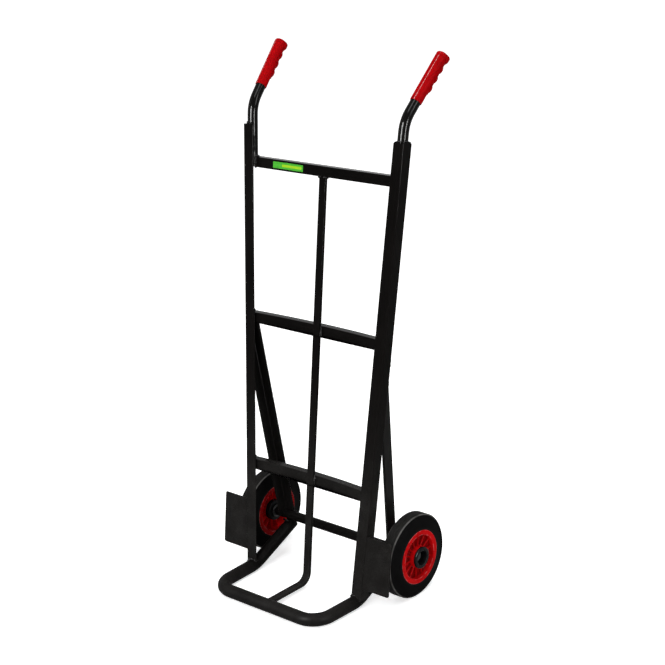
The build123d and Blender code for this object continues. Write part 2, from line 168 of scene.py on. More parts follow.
class FrameFinish(bpy.types.PropertyGroup):
    """Small details and colours of the welded frame."""

    eased_edge: length_prop("Eased edge", 1.4 * MM, "Width of the rolled edge on the frame's steel")
    bead_width: length_prop("Weld bead width", 6.2 * MM, "Width of a weld bead across its seam")
    bead_pitch: length_prop("Weld ripple pitch", 2.0 * MM, "Distance between a bead's ripples")
    paint: colour_prop("Paint", (0.0041, 0.0036, 0.0034), "Colour of the enamel on the frame")
    # Lighter colour low on the frame: dust, and painted bounce light from the floor
    dust: colour_prop("Dust", (0.040, 0.039, 0.037), "Colour of the dust low on the frame")
    bare_steel: colour_prop("Bare steel", (0.16, 0.155, 0.15), "Colour where the enamel is chipped")


class GripFinish(bpy.types.PropertyGroup):
    """Sizes and colour of the moulded grips on the handle tubes."""

    rise: length_prop("Handle rise", 1144 * MM, "Height up the upright at which the bend starts")
    bend: length_prop("Handle bend", 77 * MM, "Radius of the handle tube's bend")
    turn: angle_prop("Handle turn", 36.4, "Angle through which the handle tube bends to the rear")
    splay: angle_prop("Handle splay", 3.45, "Angle by which the bend points outwards")
    straight: length_prop("Bare tube", 26.5 * MM, "Length of tube between the bend and the grip")
    nest: length_prop("Tube inset", 15.6 * MM, "Distance of the tube's axis inside the upright")
    bore: length_prop("Bore", 12.6 * MM, "Radius of the grip's bore")
    length: length_prop("Length", 132 * MM, "Length of the grip")
    sleeve: length_prop("Sleeve radius", 14.2 * MM, "Radius of the smooth sleeve")
    end_round: length_prop("End round", 4 * MM, "Radius of the grip's closed end")
    offset: length_prop("Finger offset", 6 * MM, "Distance of the bumps' axis from the tube's axis")
    valley: length_prop("Finger valley", 11.4 * MM, "Radius between two finger bumps")
    peak: length_prop("Finger peak", 14.2 * MM, "Radius at the top of a finger bump")
    last_peak: length_prop("Last peak", 15.8 * MM, "Radius of the bump at the grip's end")
    pitch: length_prop("Finger pitch", 26 * MM, "Distance between finger bumps")
    finger_width: length_prop("Finger width", 18 * MM, "Length of a finger bump along the grip")
    fingers: IntProperty(name="Finger bumps", description="Number of bumps", default=4, min=1)
    seam: length_prop("Mould seam", 0.25 * MM, "Height of the fine seams along the grip")
    colour: colour_prop("Colour", (0.315, 0.0009, 0.0022), "Colour of the soft red grip")


class WheelFinish(bpy.types.PropertyGroup):
    """Sizes and colours of the wheels, with distances across measured from the mid plane."""

    tyre_radius: length_prop("Tyre radius", 105 * MM, "Radius of the tread")
    tyre_half: length_prop("Half tyre width", 16 * MM, "Half the width of the tyre at the tread")
    bead_half: length_prop("Half bead width", 24 * MM, "Half the width of the tyre at the rim")
    bevel: length_prop("Shoulder", 3 * MM, "Size of the bevelled shoulder")
    seat: length_prop("Rim seat", 63 * MM, "Radius of the seat under the tyre")
    lip: length_prop("Rim lip", 67 * MM, "Radius of the rim's lips")
    rim_bore: length_prop("Rim bore", 55 * MM, "Inner radius of the rim")
    rim_face: length_prop("Rim face", 24.6 * MM, "Distance of the rim's faces")
    web_outer: length_prop("Web outside", 11 * MM, "Distance of the web's outer face")
    web_inner: length_prop("Web inside", 7 * MM, "Distance of the web's inner face, outwards")
    hub: length_prop("Hub", 27 * MM, "Radius of the hub")
    hub_bore: length_prop("Hub bore", 14.05 * MM, "Radius of the hole for the bush")
    hub_end: length_prop("Hub end", 26.5 * MM, "Distance of the hub's outer end")
    recess: length_prop("Hub recess", 20.05 * MM, "Radius of the recess in the hub's outer end")
    recess_floor: length_prop("Recess floor", 8 * MM, "Distance of the recess's floor")
    outer_rib: length_prop("Outer ribs", 17 * MM, "Distance of the outer ribs' crests")
    inner_rib: length_prop("Inner ribs", 8 * MM, "Distance of the inner ribs' crests and hub")
    rib_thickness: length_prop("Rib thickness", 4 * MM, "Thickness of a rib at its foot")
    rib_count: IntProperty(name="Ribs", description="Number of ribs on a face", default=14, min=3)
    rib_turn: angle_prop("Rib turn", 6.3, "Angle of the first rib from the rear, upwards")
    colour: colour_prop("Wheel centre", (0.47, 0.0010, 0.0026), "Colour of the wheel centre")
    rubber: colour_prop("Rubber", (0.0014, 0.0014, 0.0015), "Colour of the tyre")
    rubber_dust: colour_prop("Scrubbed rubber", (0.042, 0.041, 0.039), "Colour of the worn tread")
    hub_black: colour_prop("Hub rings", (0.0035, 0.0035, 0.0038), "Colour of the rings on the hub")


class LabelFinish(bpy.types.PropertyGroup):
    """Place, size and colours of the plain label on the top crossbar."""

    middle: length_prop("Place across", -108.3 * MM, "Middle of the label across the truck")
    height: length_prop("Place up", 1031 * MM, "Middle of the label up the lean")
    depth: length_prop("Face", 13 * MM, "Depth of the crossbar's face behind the load face")
    long: length_prop("Length", 95 * MM, "Length of the label")
    tall: length_prop("Width", 15.5 * MM, "Width of the label")
    green: colour_prop("Field", (0.054, 0.39, 0.022), "Colour of the label")
    yellow: colour_prop("Band", (0.30, 0.57, 0.008), "Colour of the label's plain band")


class StageFinish(bpy.types.PropertyGroup):
    """Floor and camera."""

    floor_size: length_prop("Floor", 60.0, "Side of the floor")
    floor_colour: colour_prop("Floor colour", (0.86, 0.86, 0.86), "Colour of the floor")
    lens: FloatProperty(
        name="Lens", description="Focal length on a 36 mm sensor, in millimetres", default=86.57
    )
    camera_place: FloatVectorProperty(
        name="Camera", description="Place of the camera", default=(2.41414, -2.68036, 1.80952),
        size=3, subtype="TRANSLATION",
    )


def feed(tree, value, socket):
    """Link a socket, or set a plain value on it."""
    if isinstance(value, bpy.types.NodeSocket):
        tree.links.new(value, socket)
    else:
        socket.default_value = value


def added(tree, kind, **values):
    """New node with its choices (lower-case names) and then its inputs (_ for a space) set."""
    made = tree.nodes.new(kind)
    for label, value in values.items():
        if label.islower():
            setattr(made, label, value)
        else:
            feed(tree, value, made.inputs[label.replace("_", " ")])
    return made


def maths(tree, operation, first, second=0.0, clamp=False):
    """Result of a Math node."""
    made = added(tree, "ShaderNodeMath", operation=operation, use_clamp=clamp)
    feed(tree, first, made.inputs[0])
    feed(tree, second, made.inputs[1])
    return made.outputs[0]


def times(tree, first, second, clamp=False):
    """Product of two values."""
    return maths(tree, "MULTIPLY", first, second, clamp)


def plus(tree, first, second, clamp=False):
    """Sum of two values."""
    return maths(tree, "ADD", first, second, clamp)


def rest_of(tree, share):
    """What a share leaves of the whole."""
    return maths(tree, "SUBTRACT", 1.0, share)


def eased_range(tree, value, low, high, to_low=0.0, to_high=1.0):
    """Value carried smoothly from one range into another."""
    made = added(
        tree, "ShaderNodeMapRange", interpolation_type="SMOOTHSTEP",
        Value=value, From_Min=low, From_Max=high, To_Min=to_low, To_Max=to_high,
    )
    return made.outputs["Result"]


def near(tree, value, aim, full, none):
    """Share that is whole up to one distance from an aim and gone at another."""
    away = maths(tree, "ABSOLUTE", maths(tree, "SUBTRACT", value, aim))
    return eased_range(tree, away, full, none, 1.0, 0.0)


def tinted(colour, level):
    """Colour made darker or lighter."""
    return [level * part for part in colour]


def mixed(tree, share, first, second):
    """Colour between two colours, each a socket or three numbers."""
    first, second = (
        colour if isinstance(colour, bpy.types.NodeSocket) else (*colour, 1.0)
        for colour in (first, second)
    )
    made = added(tree, "ShaderNodeMix", data_type="RGBA", Factor=share, A=first, B=second)
    return made.outputs["Result"]


def noise(tree, where, scale, detail, roughness):
    """Noise pattern on a place."""
    made = added(
        tree, "ShaderNodeTexNoise",
        Vector=where, Scale=scale, Detail=detail, Roughness=roughness,
    )
    return made.outputs["Fac"]


def clouds(tree, where, scale, detail, roughness, low, high, to_low=0.0, to_high=1.0):
    """Noise pattern on a place, carried smoothly from one range into another."""
    pattern = noise(tree, where, scale, detail, roughness)
    return eased_range(tree, pattern, low, high, to_low, to_high)


def object_place(tree, **changes):
    """Object coordinates, changed by the Location, Rotation or Scale of a mapping."""
    coordinates = tree.nodes.new("ShaderNodeTexCoord").outputs["Object"]
    if not changes:
        return coordinates
    return added(tree, "ShaderNodeMapping", Vector=coordinates, **changes).outputs["Vector"]


def axes(tree, where):
    """X, Y and Z of a place."""
    return added(tree, "ShaderNodeSeparateXYZ", Vector=where).outputs


def off_axle(tree, place):
    """Distance from the axle of a place that is split into axes from the axle."""
    squares = [maths(tree, "POWER", place[axis], 2.0) for axis in ("Y", "Z")]
    return maths(tree, "SQRT", plus(tree, *squares))


def mesh_mark(tree, name):
    """Mark that a mesh carries under a name."""
    return added(tree, "ShaderNodeAttribute", attribute_name=name).outputs["Fac"]


def shared_group(name, output, **inputs):
    """Empty shader node group with named inputs and one output, and its ends."""
    group = bpy.data.node_groups.new(name, "ShaderNodeTree")
    for label, default in inputs.items():
        socket = group.interface.new_socket(label, in_out="INPUT", socket_type="NodeSocketFloat")
        socket.default_value = default
    group.interface.new_socket(output, in_out="OUTPUT", socket_type="NodeSocketFloat")
    start = group.nodes.new("NodeGroupInput")
    end = group.nodes.new("NodeGroupOutput")
    return group, start.outputs, end.inputs[output]


def orange_peel_group():
    """Soft waves of a sprayed or moulded skin."""
    group, given, put = shared_group("orange_peel", "Height", Scale=350.0, Fine=0.35)
    where = object_place(group)
    waves = noise(group, where, given["Scale"], 2.0, 0.45)
    fine = noise(group, where, times(group, given["Scale"], 5.0), 2.0, 0.6)
    group.links.new(plus(group, waves, times(group, fine, given["Fine"])), put)
    return group


def dust_and_floor_bounce_group():
    """Dust that lies on upward faces and gathers near the floor, where its lighter colour is also painted bounce
    light from the floor.
    """
    group, given, put = shared_group(
        "settled_dust", "Mask", Amount=0.5, Low=0.1, High=0.9, Upward=0.6
    )
    where = object_place(group)
    low = eased_range(group, axes(group, where)["Z"], given["Low"], given["High"], 1.0, 0.0)
    normal = group.nodes.new("ShaderNodeNewGeometry").outputs["Normal"]
    upward = eased_range(group, axes(group, normal)["Z"], 0.35, 0.95)
    lying = times(group, upward, given["Upward"])
    cloud = clouds(group, where, 14.0, 4.0, 0.6, 0.3, 0.7, 0.45, 1.0)
    specks = clouds(group, where, 420.0, 2.0, 0.7, 0.35, 0.75, 0.55, 1.0)
    both = times(group, plus(group, low, lying), times(group, cloud, specks))
    group.links.new(times(group, both, given["Amount"], clamp=True), put)
    return group


def edge_wear_group():
    """Chips and rubbing along the marked edges of a piece."""
    group, given, put = shared_group("edge_wear", "Mask", Amount=0.4, Scale=60.0)
    rub = noise(group, object_place(group), given["Scale"], 5.0, 0.65)
    level = maths(group, "SUBTRACT", 0.78, times(group, given["Amount"], 0.35))
    chips = eased_range(group, rub, level, plus(group, level, 0.06))
    group.links.new(times(group, mesh_mark(group, "edge"), chips, clamp=True), put)
    return group


def scuff_group():
    """Thin scratches that run three ways, in patches."""
    group, given, put = shared_group("scuffs", "Mask", Amount=0.5, Scale=1.0)
    every = None
    for turn in ((0.3, 0.2, 0.5), (0.2, 1.1, 2.0), (1.3, 0.4, 0.9)):
        where = object_place(group, Scale=(40.0, 40.0, 900.0), Rotation=turn)
        lines = clouds(group, where, given["Scale"], 2.0, 0.5, 0.70, 0.76)
        every = maths(group, "MAXIMUM", every, lines) if every else lines
    patch = clouds(group, object_place(group), 9.0, 3.0, 0.6, 0.5, 0.68)
    group.links.new(times(group, times(group, every, patch), given["Amount"], clamp=True), put)
    return group


shared_makers = {
    "orange_peel": orange_peel_group,
    "settled_dust": dust_and_floor_bounce_group,
    "edge_wear": edge_wear_group,
    "scuffs": scuff_group,
}


def shared(tree, name, **values):
    """A shared effect placed in a material with its own values."""
    made = tree.nodes.new("ShaderNodeGroup")
    made.node_tree = bpy.data.node_groups.get(name) or shared_makers[name]()
    for label, value in values.items():
        made.inputs[label].default_value = value
    return made.outputs[0]


def blank_material(name, specular, metallic=0.0):
    """New material, its tree and its shader."""
    material = bpy.data.materials.new(name)
    material.use_nodes = True
    shader = material.node_tree.nodes["Principled BSDF"]
    shader.inputs["Specular IOR Level"].default_value = specular
    shader.inputs["Metallic"].default_value = metallic
    return material, material.node_tree, shader


def dress(tree, shader, colour, roughness, height, strength, distance):
    """Link a shader's colour and roughness, and its normal from a height."""
    bump = added(tree, "ShaderNodeBump", Strength=strength, Distance=distance, Height=height)
    tree.links.new(colour, shader.inputs["Base Color"])
    tree.links.new(roughness, shader.inputs["Roughness"])
    tree.links.new(bump.outputs["Normal"], shader.inputs["Normal"])


def black_enamel(name):
    """Black paint with orange peel, dust and painted bounce light low down, painted shade towards the rear, scuffs
    and chipped edges, one for each name.
    """
    if name in bpy.data.materials:
        return bpy.data.materials[name]
    smooth, dull, specular, dusty, rear_shade_start = enamels[name]
    finish = bpy.context.scene.truck_frame
    material, tree, shader = blank_material(name, specular)
    where = object_place(tree)
    drift = clouds(tree, where, 5.0, 3.0, 0.6, 0.3, 0.7)
    colour = mixed(tree, drift, tinted(finish.paint, 0.75), tinted(finish.paint, 1.3))
    # Dust and painted bounce light, lighter low down; fading them out to the rear paints shade on the rear parts
    dust = shared(tree, "settled_dust", Amount=dusty, Low=0.15, High=0.53, Upward=0.2)
    along = axes(tree, where)["Y"]
    dust = times(tree, dust, eased_range(tree, along, rear_shade_start, rear_shade_start + rear_shade_length, 1.0, 0.15))
    scuffs = shared(tree, "scuffs", Amount=0.16, Scale=1.0)
    wear = shared(tree, "edge_wear", Amount=0.12, Scale=55.0)
    colour = mixed(tree, dust, colour, finish.dust)
    colour = mixed(tree, scuffs, colour, tinted(finish.bare_steel, 0.5))
    colour = mixed(tree, wear, colour, finish.bare_steel)
    rough = clouds(tree, where, 22.0, 4.0, 0.6, 0.25, 0.75, smooth, dull)
    rough = plus(tree, rough, times(tree, dust, 0.5))
    rough = plus(tree, rough, times(tree, scuffs, 0.2), clamp=True)
    peel = shared(tree, "orange_peel", Scale=260.0, Fine=0.25)
    height = maths(tree, "SUBTRACT", peel, times(tree, wear, 0.8))
    dress(tree, shader, colour, rough, height, 0.22, 0.12 * MM)
    return material


def soft_red():
    """Soft satin red of the moulded grips, with a pale seam that is partly a painted highlight, painted shade in
    the creases, and handled patches.
    """
    red = bpy.context.scene.truck_grip.colour
    scuffed, dusty, pale = (0.30, 0.05, 0.05), (0.45, 0.30, 0.28), (0.66, 0.30, 0.30)
    material, tree, shader = blank_material("soft_red_grip", 0.004)
    where = object_place(tree)
    drift = clouds(tree, where, 28.0, 3.0, 0.6, 0.3, 0.7)
    colour = mixed(tree, drift, tinted(red, 0.94), tinted(red, 1.05))
    scuffs = shared(tree, "scuffs", Amount=0.03, Scale=1.0)
    dust = shared(tree, "settled_dust", Amount=0.006, Low=0.0, High=0.1, Upward=1.0)
    # Pale line on the top mould seam: rubbed plastic and a painted highlight
    seam = shared(tree, "edge_wear", Amount=0.95, Scale=260.0)
    colour = mixed(tree, scuffs, colour, scuffed)
    colour = mixed(tree, dust, colour, dusty)
    colour = mixed(tree, times(tree, seam, 0.75), colour, pale)
    # Painted shade along the creases where the bumps meet the sleeve
    recess_shade = times(tree, mesh_mark(tree, "crease"), 0.75)
    colour = mixed(tree, recess_shade, colour, tinted(red, 0.35))
    handled = clouds(tree, where, 35.0, 3.0, 0.6, 0.35, 0.7, 0.42, 0.52)
    peel = shared(tree, "orange_peel", Scale=900.0, Fine=0.8)
    dress(tree, shader, colour, handled, peel, 0.08, 0.05 * MM)
    return material


def moulded_red():
    """Hard satin red of the wheel centres: painted shade in the pockets and on the inner side, painted highlights
    along the lips, scuffs.
    """
    finish = bpy.context.scene.truck_wheel
    red = finish.colour
    lip_highlight_red, scuffed, dusty = (0.62, 0.24, 0.24), (0.34, 0.07, 0.07), (0.30, 0.20, 0.17)
    material, tree, shader = blank_material("moulded_red_wheel", 0.012)
    where = object_place(tree)
    place = axes(tree, object_place(tree, Location=(0.0, -axle.y, -axle.z)))
    radius = off_axle(tree, place)
    reach = maths(tree, "SUBTRACT", maths(tree, "ABSOLUTE", place["X"]), axle.x)
    outside = eased_range(tree, reach, finish.web_outer + 0.5 * MM, finish.outer_rib, 1.0, 0.0)
    inside = eased_range(tree, reach, 1 * MM - finish.rim_face, -finish.inner_rib)
    deep = times(tree, outside, inside)
    shallow = rest_of(tree, deep)
    drift = clouds(tree, where, 20.0, 3.0, 0.55, 0.3, 0.7)
    colour = mixed(tree, drift, tinted(red, 0.84), tinted(red, 1.08))
    # Painted shade deep in the outer pockets, in patches
    recess_shade = clouds(tree, where, 70.0, 4.0, 0.6, 0.25, 0.7, 0.55, 0.85)
    recess_shade = times(tree, recess_shade, eased_range(tree, reach, finish.web_inner, finish.web_outer))
    colour = mixed(tree, times(tree, deep, recess_shade), colour, tinted(red, 0.34))
    # Painted shade on the inner side of the wheel
    inner_side_shade = eased_range(tree, reach, -10 * MM, -2 * MM, 0.72, 0.0)
    colour = mixed(tree, times(tree, inner_side_shade, shallow), colour, tinted(red, 0.30))
    # Painted highlights along the rim's bore lip and outer lip, in patches
    bore_lip = near(tree, radius, finish.rim_bore + 0.9 * MM, 0.3 * MM, 1.1 * MM)
    outer_lip = near(tree, radius, finish.lip - 0.5 * MM, 0.2 * MM, 0.8 * MM)
    lips = maths(tree, "MAXIMUM", bore_lip, outer_lip)
    rubbed = clouds(tree, where, 75.0, 3.0, 0.6, 0.42, 0.62, 0.0, 0.40)
    rubbed = times(tree, lips, times(tree, rubbed, shallow))
    scuffs = shared(tree, "scuffs", Amount=0.14, Scale=1.0)
    dust = shared(tree, "settled_dust", Amount=0.015, Low=0.05, High=0.25, Upward=0.8)
    colour = mixed(tree, rubbed, colour, lip_highlight_red)
    colour = mixed(tree, scuffs, colour, scuffed)
    colour = mixed(tree, dust, colour, dusty)
    flow = clouds(tree, where, 30.0, 4.0, 0.6, 0.3, 0.7, 0.24, 0.36)
    peel = shared(tree, "orange_peel", Scale=420.0, Fine=0.5)
    rough = plus(tree, flow, times(tree, dust, 0.6))
    dress(tree, shader, colour, rough, peel, 0.25, 0.10 * MM)
    return material


def tyre_rubber(name, centre):
    """Matt solid rubber: fine rings on the wall, a painted highlight along the shoulder in rubbed patches, and a
    scrubbed paler tread.
    """
    finish = bpy.context.scene.truck_wheel
    dusty = finish.rubber_dust
    ring_pitch = 0.9 * MM
    material, tree, shader = blank_material(name, 0.008)
    where = object_place(tree, Location=-centre)
    radius = off_axle(tree, axes(tree, where))
    outside = finish.tyre_radius
    corner = outside - finish.bevel
    tread = eased_range(tree, radius, outside - 2.2 * MM, outside - 0.5 * MM)
    bead = eased_range(tree, radius, finish.lip + 1 * MM, finish.lip + 6 * MM, 1.0, 0.0)
    shoulder = times(
        tree,
        eased_range(tree, radius, corner - 0.5 * MM, corner + 0.2 * MM),
        eased_range(tree, radius, outside - 0.9 * MM, outside - 0.2 * MM, 1.0, 0.0),
    )
    cloud = clouds(tree, where, 26.0, 4.0, 0.65, 0.3, 0.7)
    drawn_out = object_place(tree, Scale=(900.0, 60.0, 60.0))
    scrub = clouds(tree, drawn_out, 1.0, 3.0, 0.6, 0.25, 0.7, 0.08, 0.40)
    rubbed = clouds(tree, where, 45.0, 3.0, 0.6, 0.25, 0.6, 0.35, 0.95)
    colour = mixed(tree, times(tree, cloud, 0.05), finish.rubber, dusty)
    colour = mixed(tree, times(tree, tread, scrub), colour, dusty)
    colour = mixed(tree, times(tree, bead, 0.15), colour, dusty)
    # Painted highlight: a pale line along the bevelled shoulder, broken up in rubbed patches
    pale = tinted(finish.rubber_dust, 2.4)
    colour = mixed(tree, times(tree, shoulder, rubbed), colour, pale)
    rough = eased_range(tree, cloud, 0.0, 1.0, 0.52, 0.70)
    rough = plus(tree, rough, times(tree, tread, 0.12))
    rings = maths(tree, "SINE", times(tree, radius, 2 * pi / ring_pitch))
    wall = times(tree, rings, rest_of(tree, tread))
    peel = shared(tree, "orange_peel", Scale=700.0, Fine=0.9)
    height = plus(tree, times(tree, peel, 0.8), times(tree, wall, 0.12))
    dress(tree, shader, colour, rough, height, 0.35, 0.14 * MM)
    return material


def hub_nylon():
    """Satin black nylon of the hub rings, scuffed and rubbed at the edges."""
    black = bpy.context.scene.truck_wheel.hub_black
    scuffed, rubbed = (0.03, 0.03, 0.03), (0.05, 0.05, 0.05)
    material, tree, shader = blank_material("hub_black_nylon", 0.04)
    drift = clouds(tree, object_place(tree), 60.0, 3.0, 0.6, 0.3, 0.7)
    colour = mixed(tree, drift, black, tinted(black, 1.8))
    scuffs = shared(tree, "scuffs", Amount=0.25, Scale=1.2)
    wear = shared(tree, "edge_wear", Amount=0.5, Scale=90.0)
    colour = mixed(tree, scuffs, colour, scuffed)
    colour = mixed(tree, wear, colour, rubbed)
    rough = eased_range(tree, drift, 0.0, 1.0, 0.16, 0.24)
    peel = shared(tree, "orange_peel", Scale=800.0, Fine=0.5)
    dress(tree, shader, colour, rough, peel, 0.25, 0.08 * MM)
    return material


def drawn_steel(name, bright, dark, roughness):
    """Drawn or plated steel with fine lines around the axle, stained duller in places."""
    material, tree, shader = blank_material(name, 0.5, metallic=1.0)
    lines = noise(tree, object_place(tree, Scale=(4000.0, 120.0, 120.0)), 1.0, 2.0, 0.5)
    stain = clouds(tree, object_place(tree), 85.0, 4.0, 0.65, 0.42, 0.7)
    colour = mixed(tree, stain, bright, dark)
    colour = mixed(tree, eased_range(tree, lines, 0.3, 0.7, 0.0, 0.3), colour, dark)
    rough = eased_range(tree, stain, 0.0, 1.0, roughness, roughness + 0.22)
    dress(tree, shader, colour, rough, lines, 0.2, 0.05 * MM)
    return material


def label_vinyl():
    """Plain green label with a yellow band, its colours slightly rubbed."""
    finish = bpy.context.scene.truck_label
    rubbed_green = (0.16, 0.30, 0.10)
    material, tree, shader = blank_material("label_vinyl", 0.06)
    place = axes(tree, added(tree, "ShaderNodeUVMap", uv_map="label").outputs["UV"])
    wave = noise(tree, object_place(tree), 300.0, 2.0, 0.5)
    edge = times(tree, maths(tree, "SUBTRACT", wave, 0.5), 0.02)
    along, up = plus(tree, place["X"], edge), plus(tree, place["Y"], edge)
    band_up = times(
        tree, eased_range(tree, up, 0.28, 0.32), eased_range(tree, up, 0.68, 0.72, 1.0, 0.0)
    )
    band_along = times(
        tree, eased_range(tree, along, 0.30, 0.31), eased_range(tree, along, 0.94, 0.95, 1.0, 0.0)
    )
    band = times(tree, band_up, band_along)
    colour = mixed(tree, band, finish.green, finish.yellow)
    rubbed = clouds(tree, object_place(tree), 130.0, 5.0, 0.7, 0.60, 0.72, 0.0, 0.5)
    colour = mixed(tree, rubbed, colour, rubbed_green)
    rough = eased_range(tree, rubbed, 0.0, 0.5, 0.30, 0.55)
    peel = shared(tree, "orange_peel", Scale=220.0, Fine=0.2)
    dress(tree, shader, colour, rough, peel, 0.15, 0.10 * MM)
    return material


def floor_white():
    """Pale floor that reads as white around the truck and keeps its shadow."""
    pale = bpy.context.scene.truck_stage.floor_colour
    close, far = 0.9, 3.5
    material, tree, shader = blank_material("floor_white", 0.0)
    shader.inputs["Roughness"].default_value = 0.9
    where = object_place(tree)
    drift = clouds(tree, where, 1.5, 3.0, 0.5, 0.3, 0.7)
    colour = mixed(tree, drift, tinted(pale, 0.985), pale)
    tree.links.new(colour, shader.inputs["Base Color"])
    away = added(tree, "ShaderNodeVectorMath", operation="LENGTH", Vector=where)
    distance = away.outputs["Value"]
    path = tree.nodes.new("ShaderNodeLightPath").outputs
    in_mirror = maths(tree, "MAXIMUM", path["Is Glossy Ray"], path["Is Transmission Ray"])
    direct = eased_range(tree, distance, close, far, 0.60, 0.78)
    reflected = eased_range(tree, distance, close, far, 0.10, 0.70)
    level = plus(
        tree, times(tree, path["Is Camera Ray"], direct), times(tree, in_mirror, reflected)
    )
    glow = mixed(tree, level, (0.0, 0.0, 0.0), (1.0, 1.0, 1.0))
    tree.links.new(glow, shader.inputs["Emission Color"])
    shader.inputs["Emission Strength"].default_value = 1.0
    return material


def finished_mesh(bm, name, sharp_angle):
    """Mesh from a bmesh, smooth but for edges sharper than an angle."""
    mesh = bpy.data.meshes.new(name)
    bm.to_mesh(mesh)
    bm.free()
    mesh.shade_smooth()
    mesh.set_sharp_from_angle(angle=sharp_angle)
    return mesh


def placed(name, mesh, material, body, slot, *nodes):
    """Place a piece with its material on a body, instead of the nodes named."""
    mesh.materials.clear()
    mesh.materials.append(material)
    piece = bpy.data.objects.new(name, mesh)
    bpy.context.scene.collection.objects.link(piece)
    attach(piece, body)
    if nodes:
        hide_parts(*nodes)


def changed_mesh(mesh, kind, change):
    """New mesh that a modifier of a kind makes of a mesh, once change has set it up."""
    piece = bpy.data.objects.new("changing", mesh)
    bpy.context.scene.collection.objects.link(piece)
    change(piece.modifiers.new("change", kind))
    view = bpy.context.evaluated_depsgraph_get()
    view.update()
    result = bpy.data.meshes.new_from_object(
        piece.evaluated_get(view), preserve_all_data_layers=True, depsgraph=view
    )
    bpy.data.objects.remove(piece)
    return result


def weigh_normals(modifier):
    """Let the large faces of a piece set its normals."""
    modifier.keep_sharp = True
    modifier.weight = 90


def grown_mesh(mesh, tree, **inputs):
    """New mesh that a geometry nodes tree makes of a mesh, with inputs set by identifier."""
    identifiers = {
        item.name: item.identifier
        for item in tree.interface.items_tree
        if item.item_type == "SOCKET" and item.in_out == "INPUT"
    }

    def set_inputs(modifier):
        modifier.node_group = tree
        for label, value in inputs.items():
            modifier[identifiers[label]] = value

    result = changed_mesh(mesh, "NODES", set_inputs)
    if not result.polygons:
        raise RuntimeError(f"{tree.name} made no faces")
    return result


def bridge(bm, first, second):
    """Faces between two closed rings of points."""
    for k, point in enumerate(first):
        n = (k + 1) % len(first)
        bm.faces.new((point, first[n], second[n], second[k]))


def eased_mesh(node, width, shortest=0.0):
    """Copy of a node's shape, its sharp edges of some length rolled over and marked for wear."""
    least_sharp, same_place = radians(35), 2e-6
    bm = bmesh.new()
    bm.from_mesh(frame["nodes"][node].data)
    bmesh.ops.remove_doubles(bm, verts=bm.verts, dist=same_place / 2)
    bmesh.ops.dissolve_limit(bm, angle_limit=radians(0.4), verts=bm.verts, edges=bm.edges)
    mark = bm.faces.layers.float.new("edge")
    sharp = [e for e in bm.edges if len(e.link_faces) == 2 and e.calc_face_angle() > least_sharp]
    sharp = [e for e in sharp if e.calc_length() >= shortest]
    if not sharp:
        raise RuntimeError(f"{node} has no edges to ease")
    rolled = bmesh.ops.bevel(
        bm, geom=sharp, offset=width, offset_type="OFFSET", segments=3, profile=0.5,
        affect="EDGES", clamp_overlap=not shortest,
    )
    for face in rolled["faces"]:
        face[mark] = 1.0
    bmesh.ops.remove_doubles(bm, verts=bm.verts, dist=same_place)
    bmesh.ops.dissolve_degenerate(bm, dist=same_place, edges=bm.edges)
    mesh = finished_mesh(bm, f"eased_{node}", radians(38))
    return changed_mesh(mesh, "WEIGHTED_NORMAL", weigh_normals)


class TRUCK_OT_steel_frame(bpy.types.Operator):
    """Rolls over the edges of the frame's steel and paints it"""

    bl_idname = "truck.steel_frame"
    bl_label = "Steel frame"

    def execute(self, context):
        width = context.scene.truck_frame.eased_edge
        for node, enamel in painted_nodes.items():
            angle_iron = node.endswith(("upright", "crossbar", "stay"))
            mesh = eased_mesh(node, width, shortest_rolled_edge if angle_iron else 0.0)
            paint = black_enamel(enamel)
            placed(f"painted_{node}", mesh, paint, "frame", "frame_paint", node)
        return {"FINISHED"}


def growing_tree(name, output, inputs):
    """Empty geometry nodes tree with inputs (label, kind, default) and one output, and its ends."""
    tree = bpy.data.node_groups.new(name, "GeometryNodeTree")
    for label, kind, default in inputs:
        socket = tree.interface.new_socket(
            label, in_out="INPUT", socket_type=f"NodeSocket{kind}"
        )
        if default is not None:
            socket.default_value = default
    tree.interface.new_socket(output, in_out="OUTPUT", socket_type="NodeSocketGeometry")
    start = tree.nodes.new("NodeGroupInput")
    end = tree.nodes.new("NodeGroupOutput")
    return tree, start.outputs, end.inputs[output]


